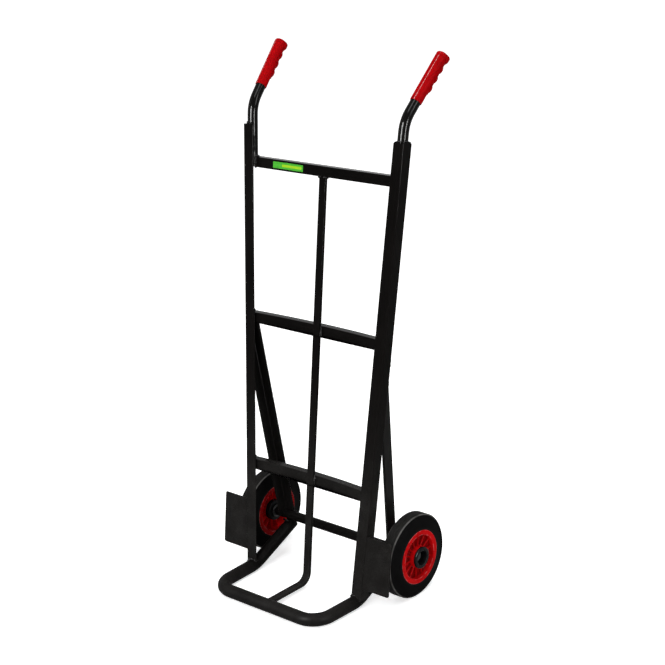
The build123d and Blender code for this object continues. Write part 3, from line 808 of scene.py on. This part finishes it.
def bead_tree():
    """Geometry nodes that lay weld ripples along every seam line."""
    tree, given, put = growing_tree("weld_bead", "Beads", (
        ("Seams", "Geometry", None),
        ("Pitch", "Float", 2.0 * MM),
        ("Width", "Float", 6.2 * MM),
        ("Flow", "Float", 0.55),
        ("Seed", "Int", bead_seed),
        ("Paint", "Material", None),
    ))
    curve = added(tree, "GeometryNodeMeshToCurve", Mesh=given["Seams"]).outputs[0]
    spaced = added(
        tree, "GeometryNodeResampleCurve", mode="LENGTH", Curve=curve, Length=given["Pitch"]
    )
    ripple = added(tree, "GeometryNodeMeshIcoSphere", Radius=0.5, Subdivisions=2).outputs["Mesh"]
    flow = added(tree, "ShaderNodeCombineXYZ", X=given["Flow"], Y=1.0, Z=1.0).outputs[0]
    flat = added(tree, "GeometryNodeTransform", Geometry=ripple, Scale=flow).outputs[0]
    along = tree.nodes.new("GeometryNodeInputTangent").outputs[0]
    turned = added(tree, "FunctionNodeAlignRotationToVector", axis="X", Vector=along)
    narrow, wide = times(tree, given["Width"], 0.86), times(tree, given["Width"], 1.12)
    width = added(
        tree, "FunctionNodeRandomValue", data_type="FLOAT",
        Min=narrow, Max=wide, Seed=given["Seed"],
    ).outputs["Value"]
    where = tree.nodes.new("GeometryNodeInputPosition").outputs[0]
    scale = times(tree, width, clouds(tree, where, 130.0, 1.0, 0.5, 0.3, 0.7, 0.78, 1.22))
    laid = added(
        tree, "GeometryNodeInstanceOnPoints",
        Points=spaced.outputs[0], Instance=flat, Rotation=turned.outputs[0], Scale=scale,
    )
    real = added(tree, "GeometryNodeRealizeInstances", Geometry=laid.outputs[0])
    smooth = added(tree, "GeometryNodeSetShadeSmooth", Geometry=real.outputs[0])
    coat = added(
        tree, "GeometryNodeSetMaterial", Geometry=smooth.outputs[0], Material=given["Paint"]
    )
    tree.links.new(coat.outputs[0], put)
    return tree


def toe_rail_height(y):
    """Height of the toe tube's axis along the truck, level and then rising under the axle tube."""
    below_axle = (toe_radius + axle_tube_radius + weld_gap) / cos(toe_rise)
    corner = axle.y - (axle.z - toe_radius - below_axle) / tan(toe_rise)
    reach = toe_bend * tan(toe_rise / 2)
    start = corner - reach
    if y <= start:
        return toe_radius
    if y >= corner + reach * cos(toe_rise):
        return toe_radius + (y - corner) * tan(toe_rise)
    return toe_radius + toe_bend - sqrt(toe_bend**2 - (y - start) ** 2)


def beside(inset, depth, height, width_at=None):
    """Point inset from the upright's outside, as wide as at another height if told, in mm."""
    outside = half_width((height if width_at is None else width_at) * MM)
    return on_frame(outside - inset * MM, depth * MM, height * MM)


def foot_point(inset, depth):
    """Point at which the upright's foot meets the toe tube, found down the upright, in mm."""
    high, low = 60.0, 10.0
    bead_radius = toe_radius + 0.5 * MM
    for _ in range(30):
        height = (high + low) / 2
        point = beside(inset, depth, height)
        rise = point.z - toe_rail_height(point.y)
        if sqrt(rise**2 + (point.x - toe_half_spacing) ** 2) > bead_radius:
            high = height
        else:
            low = height
    return beside(inset, depth, high)


def right_seams():
    """Lines of the weld seams on the truck's right half, with sizes in millimetres."""
    lines = []
    for top in (663.5, 292.0):
        # A lower crossbar's end against the upright, and its front against the centre bar
        lines.append([beside(4.9, 5.2, top - drop) for drop in (0.4, 8.0, 16.0, 24.6)])
        lines.append([beside(4.9, depth, top + 1.5, top) for depth in (8.0, 18.0, 29.0)])
        lines.append([
            on_frame(10 * MM, 19.3 * MM, (top - drop) * MM) for drop in (1.0, 12.0, 24.0)
        ])
    # The top crossbar's end against the handle tube
    top, low = 1043.5, 1018.5
    tube_side = 27.8
    lines.append([beside(tube_side, 11.6, top - drop) for drop in (0.0, 12.0, 25.0)])
    lines.append([beside(tube_side + 0.5, depth, top + 1.3, top) for depth in (13.0, 18.0, 23.0)])
    # The centre bar's head under the top crossbar
    lines.append([on_frame(x * MM, 13.2 * MM, low * MM) for x in (5.0, 8.0, 11.0)])
    lines.append([
        on_frame(10 * MM, depth * MM, (low - 0.2) * MM) for depth in (13.5, 17.0, 20.5)
    ])
    # The upright's foot on the toe tube: in front, behind and at the inner edge
    lines.append([foot_point(inset, -0.4) for inset in (3, 6, 10, 14, 18, 22, 26, 29)])
    lines.append([foot_point(inset, 3.4) for inset in (6, 10, 14, 18, 22, 26, 29)])
    lines.append([foot_point(29.5, depth) for depth in (0.0, 1.5, 3.0)])
    # The wheel guard on the upright
    for start in (62.0, 110.0, 158.0):
        lines.append([beside(-1.4, 4.6, start + rise) for rise in (0, 12, 24)])
    # The handle tube against both legs of the upright, and around its head
    lines.append([beside(29.2, 6.5, height) for height in (1056.0, 1074.0, 1092.0)])
    lines.append([beside(6.0, 28.6, height) for height in (1060.0, 1076.0, 1094.0)])
    head = [(27.0, 4.2, 1119.8), (22.0, 4.4, 1122.6), (15.6, 4.6, 1124.6), (9.0, 5.5, 1123.6)]
    head += [(depth, inset, height) for inset, depth, height in reversed(head)]
    lines.append([beside(*point) for point in head])
    # The toe tube across the axle tube: round its sides and along its top
    around = axle_tube_radius + 0.6 * MM
    for x in (152.5, 181.5):
        lines.append([
            Vector((x * MM, axle.y + around * sin(radians(a)), axle.z + around * cos(radians(a))))
            for a in (20, 45, 70, 95)
        ])
    below = axle_tube_radius - 0.4 * MM
    for side in (-1, 1):
        y = axle.y - below * sin(toe_rise) + side * 5.6 * MM
        z = axle.z - below * cos(toe_rise) + side * 2.3 * MM
        lines.append([Vector((x * MM, y, z)) for x in (160.5, 168.0, 175.5)])
    # The upper stay against the upright
    for start in (552.0, 590.0):
        lines.append([beside(4.6, 31.0, start + rise) for rise in (0, 14, 28)])
    return lines


def seam_lines():
    """Lines of every weld seam on the frame."""
    right = right_seams()
    seams = right + [[Vector((-p.x, p.y, p.z)) for p in line] for line in right]
    # The centre bar's foot on the toe tube
    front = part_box("toe_frame")[0].y + toe_radius
    for drop in (-4.2, 4.2):
        y, z = front + 15.6 * MM, toe_radius + drop * MM
        seams.append([Vector((x * MM, y, z)) for x in (-9.5, 0.0, 9.5)])
    for x in (-10, 10):
        seams.append([Vector((x * MM, front + 16 * MM, z * MM)) for z in (12.5, 16.0, 19.5)])
    return seams


class TRUCK_OT_welds(bpy.types.Operator):
    """Lays weld beads along the frame's seams"""

    bl_idname = "truck.welds"
    bl_label = "Weld beads"

    def execute(self, context):
        finish = context.scene.truck_frame
        bm = bmesh.new()
        for line in seam_lines():
            points = [bm.verts.new(point) for point in line]
            for pair in zip(points, points[1:]):
                bm.edges.new(pair)
        seams = bpy.data.meshes.new("weld_seams")
        bm.to_mesh(seams)
        bm.free()
        paint = black_enamel("black_weld")
        mesh = grown_mesh(
            seams, bead_tree(),
            Pitch=finish.bead_pitch, Width=finish.bead_width, Seed=bead_seed, Paint=paint,
        )
        mesh.name = "weld_beads"
        placed("weld_beads", mesh, paint, "frame", "frame_paint")
        return {"FINISHED"}


def smooth_most(first, second, blend):
    """The larger of two sizes, with a soft change between them."""
    return (first + second + sqrt((first - second) ** 2 + blend**2)) / 2


def end_rounded(grip, radius, along):
    """Radius at a place along the grip, rounded over at the grip's end."""
    past = max(0.0, along - (grip.length - grip.end_round))
    return radius - grip.end_round + sqrt(max(0.0, grip.end_round**2 - past**2))


def finger_radius(grip, along):
    """Radius of the finger bumps about their own axis at a place along the grip."""
    end_flat, run_in_slope = 5 * MM, 0.8
    last = grip.length - grip.end_round - end_flat
    first_valley = last - (grip.fingers - 0.5) * grip.pitch
    if along < first_valley:
        return grip.valley - (first_valley - along) * run_in_slope
    if along < last - grip.pitch / 2:
        half = grip.finger_width / 2
        rise = grip.peak - grip.valley
        arc = (half**2 + rise**2) / (2 * rise)
        away = abs((along - first_valley) % grip.pitch - grip.pitch / 2)
        return grip.valley + max(0.0, sqrt(arc**2 - min(away, half) ** 2) - (arc - rise))
    if along < last:
        share = (along - last + grip.pitch / 2) / (grip.pitch / 2)
        return grip.valley + (grip.last_peak - grip.valley) * (1 - cos(pi * share)) / 2
    return end_rounded(grip, grip.last_peak, along)


def finger_reach(grip, along, angle):
    """How far the finger bumps stand from the sleeve's axis at an angle from underneath."""
    finger = finger_radius(grip, along)
    inside = finger**2 - (grip.offset * sin(angle)) ** 2
    if finger <= 0 or inside <= 0:
        return 0.0
    return max(0.0, grip.offset * cos(angle) + sqrt(inside))


def sleeve_radius(grip, along):
    """Radius of the smooth sleeve at a place along the grip."""
    start = 1.4 * MM
    if along < start:
        return grip.sleeve - start + sqrt(max(0.0, start**2 - (start - along) ** 2))
    return end_rounded(grip, grip.sleeve, along)


def grip_mesh(grip, side):
    """Closed sleeve with finger bumps underneath, creases beside them and two mould seams."""
    around = 120
    top_seam = around // 2 + 5
    blend, crease_width = 0.6 * MM, 0.7 * MM
    bore_end = grip.length - 4 * MM
    bend_way = rearward * cos(grip.splay) + outward * sin(grip.splay)
    axis = bend_way * sin(grip.turn) + upright_axis * cos(grip.turn)
    under = bend_way * cos(grip.turn) - upright_axis * sin(grip.turn)
    aside = axis.cross(under)
    foot = frame_foot + across * floor_half_width + rearward * grip.nest - outward * grip.nest
    foot += upright_axis * (grip.rise + grip.bend * sin(grip.turn))
    foot += bend_way * grip.bend * (1 - cos(grip.turn)) + axis * grip.straight
    bm = bmesh.new()
    crease = bm.verts.layers.float.new("crease")

    def ring(along, radius_at):
        made = []
        for k in range(around):
            angle = 2 * pi * k / around
            spoke = (under * cos(angle) + aside * sin(angle)) * radius_at(k, angle)
            point = foot + axis * along + spoke
            made.append(bm.verts.new((side * point.x, point.y, point.z)))
        return made

    def round_ring(along, radius):
        return ring(along, lambda k, angle: radius)

    def skin(along):
        sleeve = sleeve_radius(grip, along)
        seamed = 1.5 * MM < along < grip.length - 2 * MM

        def radius_at(k, angle):
            reach = finger_reach(grip, along, angle)
            radius = smooth_most(sleeve, reach, blend) if reach > 0.6 * sleeve else sleeve
            return radius + grip.seam if seamed and k in (0, top_seam) else radius

        return radius_at

    # From the bore's closed end to its mouth, along the outside, and into a dimple in the end
    rings = [
        round_ring(bore_end + 0.3 * MM, 0.4 * MM),
        round_ring(bore_end, grip.bore),
        round_ring(0.15 * MM, grip.bore),
    ]
    stations = [0.0, 0.1, 0.4, 0.8, 1.4]
    stations += [2.0 + k for k in range(int(grip.length / MM) - 5)]
    stations += [128.6, 129.4, 130.2, 130.9, 131.4, 131.75, 131.95, 132.0]
    for along in (station * MM for station in stations):
        rings.append(ring(along, skin(along)))
        sleeve = sleeve_radius(grip, along)
        # Mark the creases beside the bumps, where the grip's material paints shade
        for k, vert in enumerate(rings[-1]):
            apart = abs(sleeve - finger_reach(grip, along, 2 * pi * k / around))
            vert[crease] = max(0.0, 1.0 - apart / crease_width)
    end = skin(grip.length)
    rings.append(ring(grip.length + 0.25 * MM, lambda k, angle: 0.8 * end(k, angle)))
    for past, radius in ((0.45, 5.2), (0.25, 4.8), (-0.6, 4.4), (-0.7, 0.6)):
        rings.append(round_ring(grip.length + past * MM, radius * MM))
    for first, second in zip(rings, rings[1:]):
        bridge(bm, first, second)
    bm.faces.new(rings[0])
    bm.faces.new(rings[-1])
    # Mark the top seam, which the grip's material paints as a pale line, partly a painted highlight
    mark = bm.faces.layers.float.new("edge")
    for made in rings[5:-5]:
        for face in made[top_seam].link_faces:
            face[mark] = 1.0
    bmesh.ops.recalc_face_normals(bm, faces=bm.faces)
    return finished_mesh(bm, "grip", radians(50))


class TRUCK_OT_grips(bpy.types.Operator):
    """Moulds the two red grips"""

    bl_idname = "truck.grips"
    bl_label = "Grips"

    def execute(self, context):
        material = soft_red()
        for name, side in SIDES:
            mesh = grip_mesh(context.scene.truck_grip, side)
            placed(f"{name}_moulded_grip", mesh, material, "frame", "grip_pvc", f"{name}_grip")
        return {"FINISHED"}


def rounded(corners):
    """Closed outline in which each corner (outwards, radius, round) becomes an arc."""
    steps = 4
    outline = []
    for k, (x, r, size) in enumerate(corners):
        here = Vector((x, r))
        if not size:
            outline.append(here)
            continue
        back = (Vector(corners[k - 1][:2]) - here).normalized()
        ahead = (Vector(corners[(k + 1) % len(corners)][:2]) - here).normalized()
        half = back.angle(ahead) / 2
        centre = here + (back + ahead).normalized() * size / sin(half)
        first = here + back * (size / tan(half)) - centre
        last = here + ahead * (size / tan(half)) - centre
        for step in range(steps + 1):
            outline.append(centre + first.lerp(last, step / steps).normalized() * size)
    return outline


def both_faces(outer, inner):
    """Closed outline from the corners of a wheel's outer half and inner half."""
    return rounded(outer + [(-x, r, size) for x, r, size in reversed(inner)])


def turned_shape(outline, centre, side, segments):
    """Bmesh of a closed outline turned about the axle."""
    bm = bmesh.new()
    rings = []
    for k in range(segments):
        angle = 2 * pi * k / segments
        rings.append([
            bm.verts.new(centre + Vector((side * x, r * cos(angle), r * sin(angle))))
            for x, r in outline
        ])
    for k in range(segments):
        bridge(bm, rings[k], rings[(k + 1) % segments])
    return bm


class TRUCK_OT_tyres(bpy.types.Operator):
    """Turns the solid tyres with moulded walls and bevelled shoulders"""

    bl_idname = "truck.tyres"
    bl_label = "Tyres"

    def execute(self, context):
        wheel = context.scene.truck_wheel
        half, bead, radius = wheel.tyre_half, wheel.bead_half, wheel.tyre_radius
        clearance, groove, fine_round, corner_round = 0.05 * MM, 0.5 * MM, 0.4 * MM, 0.9 * MM
        seat, lip = wheel.seat + clearance, wheel.lip + clearance
        rebate = bead - 3 * MM - clearance
        slope = (half - bead) / (radius - wheel.bevel - lip)
        low, high = lip + 4 * MM, radius - 9 * MM
        low_edge, high_edge = bead + slope * (low - lip), bead + slope * (high - lip)
        wall = [
            (rebate, seat, 0),
            (rebate, lip, 0),
            (bead, lip, 0.7 * MM),
            (low_edge, low, fine_round),
            (low_edge - groove, low + 2 * groove, fine_round),
            (high_edge - groove, high - 2 * groove, fine_round),
            (high_edge, high, fine_round),
            (half, radius - wheel.bevel, corner_round),
            (half - wheel.bevel, radius, corner_round),
        ]
        outline = both_faces(wall, wall)
        for name, side in SIDES:
            centre, body = spin[f"{name}_wheel"], f"{name}_wheel"
            bm = turned_shape(outline, centre, side, segments=192)
            bmesh.ops.recalc_face_normals(bm, faces=bm.faces)
            mesh = finished_mesh(bm, f"{name}_solid_tyre", radians(40))
            rubber = tyre_rubber(f"{name}_tyre_rubber", centre)
            placed(f"{name}_solid_tyre", mesh, rubber, body, "tyre_rubber", f"{name}_tyre")
        return {"FINISHED"}


def rib_mesh(wheel):
    """One rib, standing on the Z axis, with rounded crests on both faces."""
    foot = wheel.rib_thickness / 2
    draft, crest_round, sunk, run_out = 0.35 * MM, 0.9 * MM, 1.5 * MM, 3 * MM
    flat = foot - draft - crest_round
    outline = []
    for side, height in ((1, wheel.outer_rib), (-1, wheel.inner_rib)):
        for step in range(7):
            angle = pi * step / 6
            half_flat = flat * ((step < 3) - (step > 3))
            x = height - crest_round + crest_round * sin(angle)
            outline.append((side * x, side * (half_flat + crest_round * cos(angle))))
        outline.append((0.0, -side * foot))
    bm = bmesh.new()
    rings = []
    inner, outer = wheel.hub, wheel.rim_bore
    for radius in (inner - sunk, inner + run_out, outer - run_out, outer + sunk):
        rings.append([bm.verts.new((x, y, radius)) for x, y in outline])
    for first, second in zip(rings, rings[1:]):
        bridge(bm, first, second)
    bm.faces.new(rings[0])
    bm.faces.new(rings[-1])
    bmesh.ops.recalc_face_normals(bm, faces=bm.faces)
    return finished_mesh(bm, "rib", radians(50))


def rib_tree():
    """Geometry nodes that turn one rib about the axle into a full set."""
    tree, given, put = growing_tree("rib_set", "Ribs", (
        ("Rib", "Geometry", None),
        ("Count", "Int", 14),
        ("Turn", "Float", 0.0),
        ("Plastic", "Material", None),
    ))
    points = added(tree, "GeometryNodePoints", Count=given["Count"]).outputs[0]
    step = maths(tree, "DIVIDE", 2 * pi, given["Count"])
    angle = times(tree, tree.nodes.new("GeometryNodeInputIndex").outputs[0], step)
    turn = added(tree, "ShaderNodeCombineXYZ", X=plus(tree, angle, given["Turn"])).outputs[0]
    laid = added(
        tree, "GeometryNodeInstanceOnPoints", Points=points, Instance=given["Rib"], Rotation=turn
    )
    real = added(tree, "GeometryNodeRealizeInstances", Geometry=laid.outputs[0])
    coat = added(
        tree, "GeometryNodeSetMaterial", Geometry=real.outputs[0], Material=given["Plastic"]
    )
    tree.links.new(coat.outputs[0], put)
    return tree


class TRUCK_OT_wheel_centres(bpy.types.Operator):
    """Moulds the red wheel centres with their rims, webs and ribs"""

    bl_idname = "truck.wheel_centres"
    bl_label = "Wheel centres"

    def execute(self, context):
        wheel = context.scene.truck_wheel
        material = moulded_red()
        rebate = wheel.bead_half - 3 * MM
        hub_foot, rim_foot = wheel.hub + 0.5 * MM, wheel.rim_bore - 0.7 * MM
        rim = [
            (wheel.rim_face, wheel.rim_bore, 1.4 * MM),
            (wheel.rim_face, wheel.lip, 0.7 * MM),
            (rebate, wheel.lip, 0),
            (rebate, wheel.seat, 0),
        ]
        outer = [
            (wheel.recess_floor, wheel.hub_bore, 0),
            (wheel.recess_floor, wheel.recess, 0),
            (wheel.hub_end, wheel.recess, 0),
            (wheel.hub_end, wheel.hub, 0.4 * MM),
            (wheel.web_outer, hub_foot, 1.8 * MM),
            (wheel.web_outer, rim_foot, 2.4 * MM),
        ]
        inner = [
            (wheel.inner_rib, wheel.hub_bore, 0),
            (wheel.inner_rib, wheel.hub, 0.8 * MM),
            (-wheel.web_inner, hub_foot, 2.4 * MM),
            (-wheel.web_inner, rim_foot, 3.2 * MM),
        ]
        outline = both_faces(outer + rim, inner + rim)
        first_turn = wheel.rib_turn - pi / 2
        ribs = grown_mesh(
            rib_mesh(wheel), rib_tree(), Count=wheel.rib_count, Turn=first_turn, Plastic=material
        )
        for name, side in SIDES:
            centre, body = spin[f"{name}_wheel"], f"{name}_wheel"
            bm = turned_shape(outline, centre, side, segments=160)
            ribs_here = ribs.copy()
            ribs_here.transform(Matrix.Translation(centre) @ Matrix.Diagonal((side, 1, 1, 1)))
            bm.from_mesh(ribs_here)
            bmesh.ops.recalc_face_normals(bm, faces=bm.faces)
            mesh = finished_mesh(bm, f"{name}_moulded_centre", radians(42))
            node = f"{name}_wheel_centre"
            placed(f"{name}_moulded_centre", mesh, material, body, "wheel_plastic", node)
        return {"FINISHED"}


class TRUCK_OT_hub_fittings(bpy.types.Operator):
    """Finishes the hub rings, bushes, axle, washers and split pins"""

    bl_idname = "truck.hub_fittings"
    bl_label = "Hub fittings"

    def execute(self, context):
        ring_edge, turned_edge, plated_edge = 0.9 * MM, 0.3 * MM, 0.25 * MM
        nylon = hub_nylon()
        steel = drawn_steel("drawn_steel", (0.075, 0.075, 0.077), (0.02, 0.019, 0.018), 0.36)
        zinc = drawn_steel("zinc_plate", (0.065, 0.065, 0.066), (0.022, 0.021, 0.019), 0.38)
        for side, _ in SIDES:
            body = f"{side}_wheel"
            for ring in (f"{side}_outer_hub_ring", f"{side}_inner_hub_ring"):
                mesh = eased_mesh(ring, ring_edge)
                placed(f"satin_{ring}", mesh, nylon, body, "hub_plastic", ring)
            bush = f"{side}_bush"
            mesh = eased_mesh(bush, turned_edge)
            placed(f"turned_{bush}", mesh, steel, body, "axle_steel", bush)
        mesh = eased_mesh("axle", turned_edge)
        placed("drawn_axle", mesh, steel, "frame", "axle_steel", "axle")
        for node in ("inner_washers", "outer_washers", "split_pins"):
            mesh = eased_mesh(node, plated_edge)
            placed(f"plated_{node}", mesh, zinc, "frame", "zinc_steel", node)
        return {"FINISHED"}


class TRUCK_OT_label(bpy.types.Operator):
    """Sticks the plain label on the top crossbar"""

    bl_idname = "truck.label"
    bl_label = "Label"

    def execute(self, context):
        label = context.scene.truck_label
        film, corner, steps = 0.18 * MM, 1.6 * MM, 5
        half_long, half_tall = label.long / 2 - corner, label.tall / 2 - corner
        bm = bmesh.new()
        front, back = [], []
        for x_way, y_way, start in ((1, 1, 0), (-1, 1, 90), (-1, -1, 180), (1, -1, 270)):
            for step in range(steps + 1):
                angle = radians(start + 90 * step / steps)
                x = label.middle + x_way * half_long + corner * cos(angle)
                height = label.height + y_way * half_tall + corner * sin(angle)
                place = on_frame(x, label.depth - film, height)
                front.append(bm.verts.new(place))
                back.append(bm.verts.new(place + rearward * film))
        bm.faces.new(front)
        bm.faces.new(list(reversed(back)))
        bridge(bm, front, back)
        bmesh.ops.recalc_face_normals(bm, faces=bm.faces)
        layer = bm.loops.layers.uv.new("label")
        origin = on_frame(label.middle, label.depth, label.height)
        for face in bm.faces:
            for loop in face.loops:
                away = loop.vert.co - origin
                along, up = away.dot(across) / label.long, away.dot(lean_up) / label.tall
                loop[layer].uv = (along + 0.5, up + 0.5)
        mesh = finished_mesh(bm, "plain_label", radians(30))
        placed("plain_label", mesh, label_vinyl(), "frame", "frame_paint")
        return {"FINISHED"}


def lamp(name, place, target, size, power):
    """Soft box aimed at a point."""
    light = bpy.data.lights.new(name, "AREA")
    light.shape = "RECTANGLE"
    light.size, light.size_y = size
    light.energy = power
    box = bpy.data.objects.new(name, light)
    box.location = place
    aim = Vector(target) - Vector(place)
    box.rotation_euler = aim.to_track_quat("-Z", "Y").to_euler()
    bpy.context.scene.collection.objects.link(box)
    return box


def studio_world():
    """World that lights the truck softly and is seen, or reflected, as white."""
    lit, seen_as = (0.38, 0.38, 0.385), (1.0, 1.0, 1.0)
    world = bpy.data.worlds.new("studio")
    world.use_nodes = True
    tree = world.node_tree
    path = tree.nodes.new("ShaderNodeLightPath").outputs
    seen = maths(tree, "MAXIMUM", path["Is Camera Ray"], path["Is Glossy Ray"])
    seen = maths(tree, "MAXIMUM", seen, path["Is Transmission Ray"])
    backdrop = tree.nodes["Background"]
    tree.links.new(mixed(tree, seen, lit, seen_as), backdrop.inputs["Color"])
    backdrop.inputs["Strength"].default_value = 1.0
    return world


class TRUCK_OT_stage(bpy.types.Operator):
    """Lays the floor, hangs the light and sets the camera"""

    bl_idname = "truck.stage"
    bl_label = "Stage"

    def execute(self, context):
        scene = context.scene
        stage = scene.truck_stage
        reach = stage.floor_size / 2
        floor = bpy.data.meshes.new("floor")
        corners = ((-1, -1), (1, -1), (1, 1), (-1, 1))
        floor.from_pydata([(reach * x, reach * y, 0) for x, y in corners], [], [(0, 1, 2, 3)])
        floor.materials.append(floor_white())
        piece = bpy.data.objects.new("floor", floor)
        scene.collection.objects.link(piece)

        scene.world = studio_world()
        for box in soft_boxes:
            lamp(*box)
        for box in sheens:
            sheen = lamp(*box)
            sheen.visible_diffuse = False
            sheen.visible_camera = False

        camera = bpy.data.cameras.new("camera")
        camera.sensor_fit = "HORIZONTAL"
        camera.sensor_width = 36.0
        camera.lens = stage.lens
        view = bpy.data.objects.new("camera", camera)
        right = Vector((0.75973, 0.64918, -0.03704))
        up = Vector((-0.17322, 0.25696, 0.95077))
        turn = Matrix((right, up, right.cross(up))).transposed()
        view.matrix_world = Matrix.Translation(stage.camera_place) @ turn.to_4x4()
        scene.collection.objects.link(view)
        scene.camera = view
        scene.view_settings.view_transform = "Standard"
        return {"FINISHED"}


class TRUCK_PT_finish(bpy.types.Panel):
    """Lists the truck's operators and groups of properties"""

    bl_label = "Sack truck"
    bl_idname = "TRUCK_PT_finish"
    bl_space_type = "VIEW_3D"
    bl_region_type = "UI"
    bl_category = "Sack truck"

    def draw(self, context):
        for operator in operators:
            self.layout.operator(operator.bl_idname)
        for name in groups:
            box = self.layout.box()
            group = getattr(context.scene, name)
            for prop in group.bl_rna.properties:
                if prop.identifier not in ("rna_type", "name"):
                    box.prop(group, prop.identifier)


operators = (
    TRUCK_OT_steel_frame,
    TRUCK_OT_welds,
    TRUCK_OT_grips,
    TRUCK_OT_tyres,
    TRUCK_OT_wheel_centres,
    TRUCK_OT_hub_fittings,
    TRUCK_OT_label,
    TRUCK_OT_stage,
)
groups = {
    "truck_frame": FrameFinish,
    "truck_grip": GripFinish,
    "truck_wheel": WheelFinish,
    "truck_label": LabelFinish,
    "truck_stage": StageFinish,
}


def register():
    """Add the truck's classes and its groups of properties."""
    for cls in (*groups.values(), *operators, TRUCK_PT_finish):
        bpy.utils.register_class(cls)
    for name, cls in groups.items():
        setattr(bpy.types.Scene, name, PointerProperty(type=cls))


def unregister():
    """Take the properties and classes away again."""
    for name in groups:
        delattr(bpy.types.Scene, name)
    for cls in reversed((*groups.values(), *operators, TRUCK_PT_finish)):
        bpy.utils.unregister_class(cls)


def main():
    """Dress the truck."""
    register()
    bpy.ops.truck.steel_frame()
    bpy.ops.truck.welds()
    bpy.ops.truck.grips()
    bpy.ops.truck.tyres()
    bpy.ops.truck.wheel_centres()
    bpy.ops.truck.hub_fittings()
    bpy.ops.truck.label()
    bpy.ops.truck.stage()


if __name__ == "__main__":
    main()
